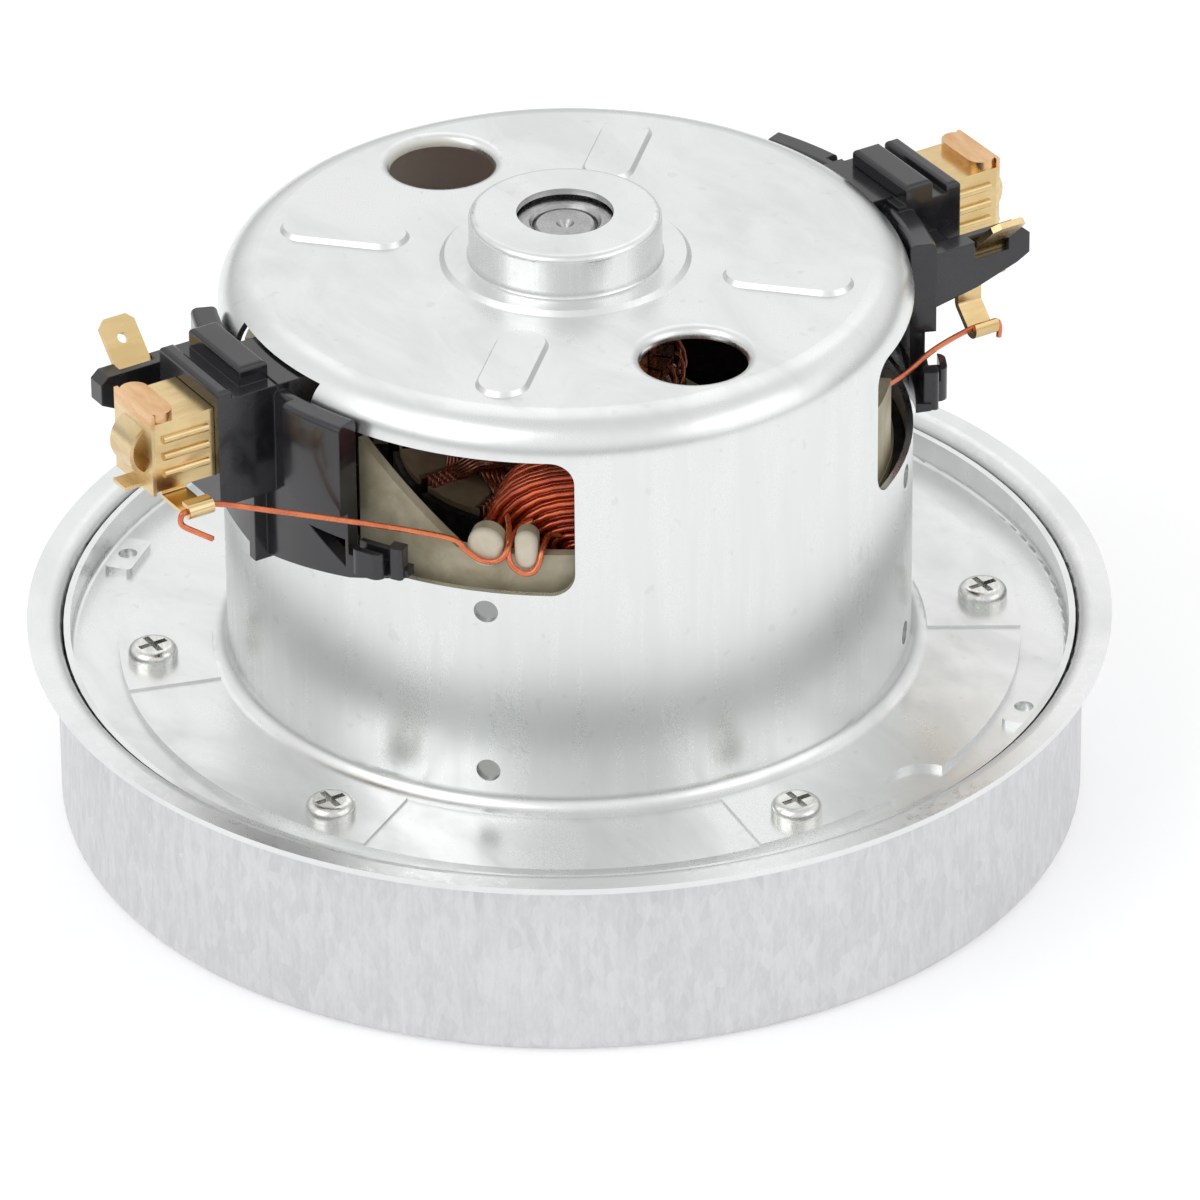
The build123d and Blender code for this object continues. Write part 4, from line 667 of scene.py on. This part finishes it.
# Brush springs: round wire with a closed curl at each end
spring_wire, spring_sides = 0.28 * mm, 8
curl_radius = 2.9 * mm
curls, curl_steps = 12, 20
spring_end_gap = 0.3 * mm
closed_share = 0.06
for side, name in ((1, "right"), (-1, "left")):
    low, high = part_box(f"brush_spring_{name}")
    near, far = sorted((abs(low.x), abs(high.x)))
    height = (low.z + high.z) / 2
    path = []
    for step in range(curls * curl_steps + 1):
        share = step / (curls * curl_steps)
        eased = min(max((share - 1 / curls) / (1 - 2 / curls), 0.0), 1.0)
        advance = closed_share * share + (1.0 - closed_share) * eased
        along = near + spring_end_gap + (far - near - 2 * spring_end_gap) * advance
        angle = 2 * math.pi * curls * share
        path.append((side * along, side * curl_radius * math.cos(angle),
                     height + curl_radius * math.sin(angle)))
    spring = dress(tubes(f"brush_spring_coil_{name}", [path], spring_wire, spring_sides), "motor_body",
                   "spring_steel", f"brush_spring_{name}")
    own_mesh(spring)

# Floor that is white to the camera, and a soft room that metal mirrors as dim below and bright above
floor_half = 4.0
floor_grey = (0.86, 0.86, 0.86)
floor_rough = 0.9
floor_glow = 0.30
soft_colour, soft_strength = (0.98, 0.99, 1.0), 0.74
room_stops = ((0.0, 0.46), (0.12, 0.54), (0.32, 0.86), (0.52, 1.0), (0.72, 0.96), (1.0, 0.80))


def plain_floor():
    mesh = bpy.data.meshes.new("floor")
    corners = [(x * floor_half, y * floor_half, 0) for x, y in ((-1, -1), (1, -1), (1, 1), (-1, 1))]
    mesh.from_pydata(corners, [], [(0, 1, 2, 3)])
    floor = bpy.data.objects.new("floor", mesh)
    scene.collection.objects.link(floor)
    floor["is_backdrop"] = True
    t = Tree("floor_finish")
    rays = t.nodes.new("ShaderNodeLightPath").outputs
    mirrored = t.math("MAXIMUM", rays["Is Glossy Ray"], rays["Is Transmission Ray"])
    seen = t.math("MAXIMUM", rays["Is Camera Ray"], mirrored)
    t.set(Base_Color=rgba(floor_grey), Roughness=floor_rough, Specular_IOR_Level=0.0,
          Emission_Color=rgba(white), Emission_Strength=t.times(seen, floor_glow))
    mesh.materials.append(t.material)


def studio_room():
    world = bpy.data.worlds.new("studio")
    world.use_nodes = True
    scene.world = world
    sky = world.node_tree
    sky.nodes.clear()
    paths = sky.nodes.new("ShaderNodeLightPath").outputs

    def background(colour, strength):
        node = sky.nodes.new("ShaderNodeBackground")
        node.inputs["Color"].default_value = rgba(colour)
        node.inputs["Strength"].default_value = strength
        return node

    def choose(share, first, second):
        node = sky.nodes.new("ShaderNodeMixShader")
        for socket, value in zip(node.inputs, (share, first, second)):
            sky.links.new(value, socket)
        return node.outputs[0]

    height = sky.nodes.new("ShaderNodeSeparateXYZ")
    sky.links.new(sky.nodes.new("ShaderNodeTexCoord").outputs["Generated"], height.inputs[0])
    band = sky.nodes.new("ShaderNodeValToRGB")
    sky.links.new(height.outputs["Z"], band.inputs[0])
    stops = band.color_ramp.elements
    stops[0].position, stops[1].position = room_stops[0][0], room_stops[-1][0]
    stops[0].color, stops[1].color = (rgba((level,) * 3) for _, level in (room_stops[0], room_stops[-1]))
    for position, level in room_stops[1:-1]:
        stops.new(position).color = rgba((level,) * 3)
    room = background(white, 1.0)
    sky.links.new(band.outputs[0], room.inputs["Color"])
    mirrored = sky.nodes.new("ShaderNodeMath")
    mirrored.operation = "MAXIMUM"
    sky.links.new(paths["Is Glossy Ray"], mirrored.inputs[0])
    sky.links.new(paths["Is Transmission Ray"], mirrored.inputs[1])
    soft = background(soft_colour, soft_strength)
    lit = choose(mirrored.outputs[0], soft.outputs[0], room.outputs[0])
    seen = choose(paths["Is Camera Ray"], lit, background(white, 1.0).outputs[0])
    sky.links.new(seen, sky.nodes.new("ShaderNodeOutputWorld").inputs[0])


plain_floor()
studio_room()

# Lamps: square soft boxes that face the middle of the unit
lamp_size = 1.5
lamp_aim = Vector((0.0, 0.0, 0.04))
for name, place, power in (("key", (-1.40, -0.20, 1.30), 7.0), ("fill", (0.90, -1.40, 0.90), 3.5),
                           ("back", (0.60, 0.90, 1.60), 2.0)):
    data = bpy.data.lights.new(name, "AREA")
    data.shape = "SQUARE"
    data.size = lamp_size
    data.energy = power
    light = bpy.data.objects.new(name, data)
    scene.collection.objects.link(light)
    light.location = place
    light.rotation_euler = (lamp_aim - Vector(place)).to_track_quat("-Z", "Y").to_euler()

# Camera at the photograph's place and angle
camera_place = Vector((-0.54742, -0.89683, 0.64712))
camera_aim = Vector((0.00918, 0.00764, 0.01874))
camera_roll = math.radians(-0.536)
camera_data = bpy.data.cameras.new("camera")
camera_data.sensor_width = 36.0
camera_data.lens = 294.1
camera_data.clip_start, camera_data.clip_end = 0.05, 20.0
camera = bpy.data.objects.new("camera", camera_data)
scene.collection.objects.link(camera)
camera.location = camera_place
camera.rotation_mode = "QUATERNION"
camera.rotation_quaternion = ((camera_aim - camera_place).to_track_quat("-Z", "Y")
                              @ Quaternion((0.0, 0.0, 1.0), camera_roll))
scene.camera = camera
scene.view_settings.view_transform = "Standard"

low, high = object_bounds()
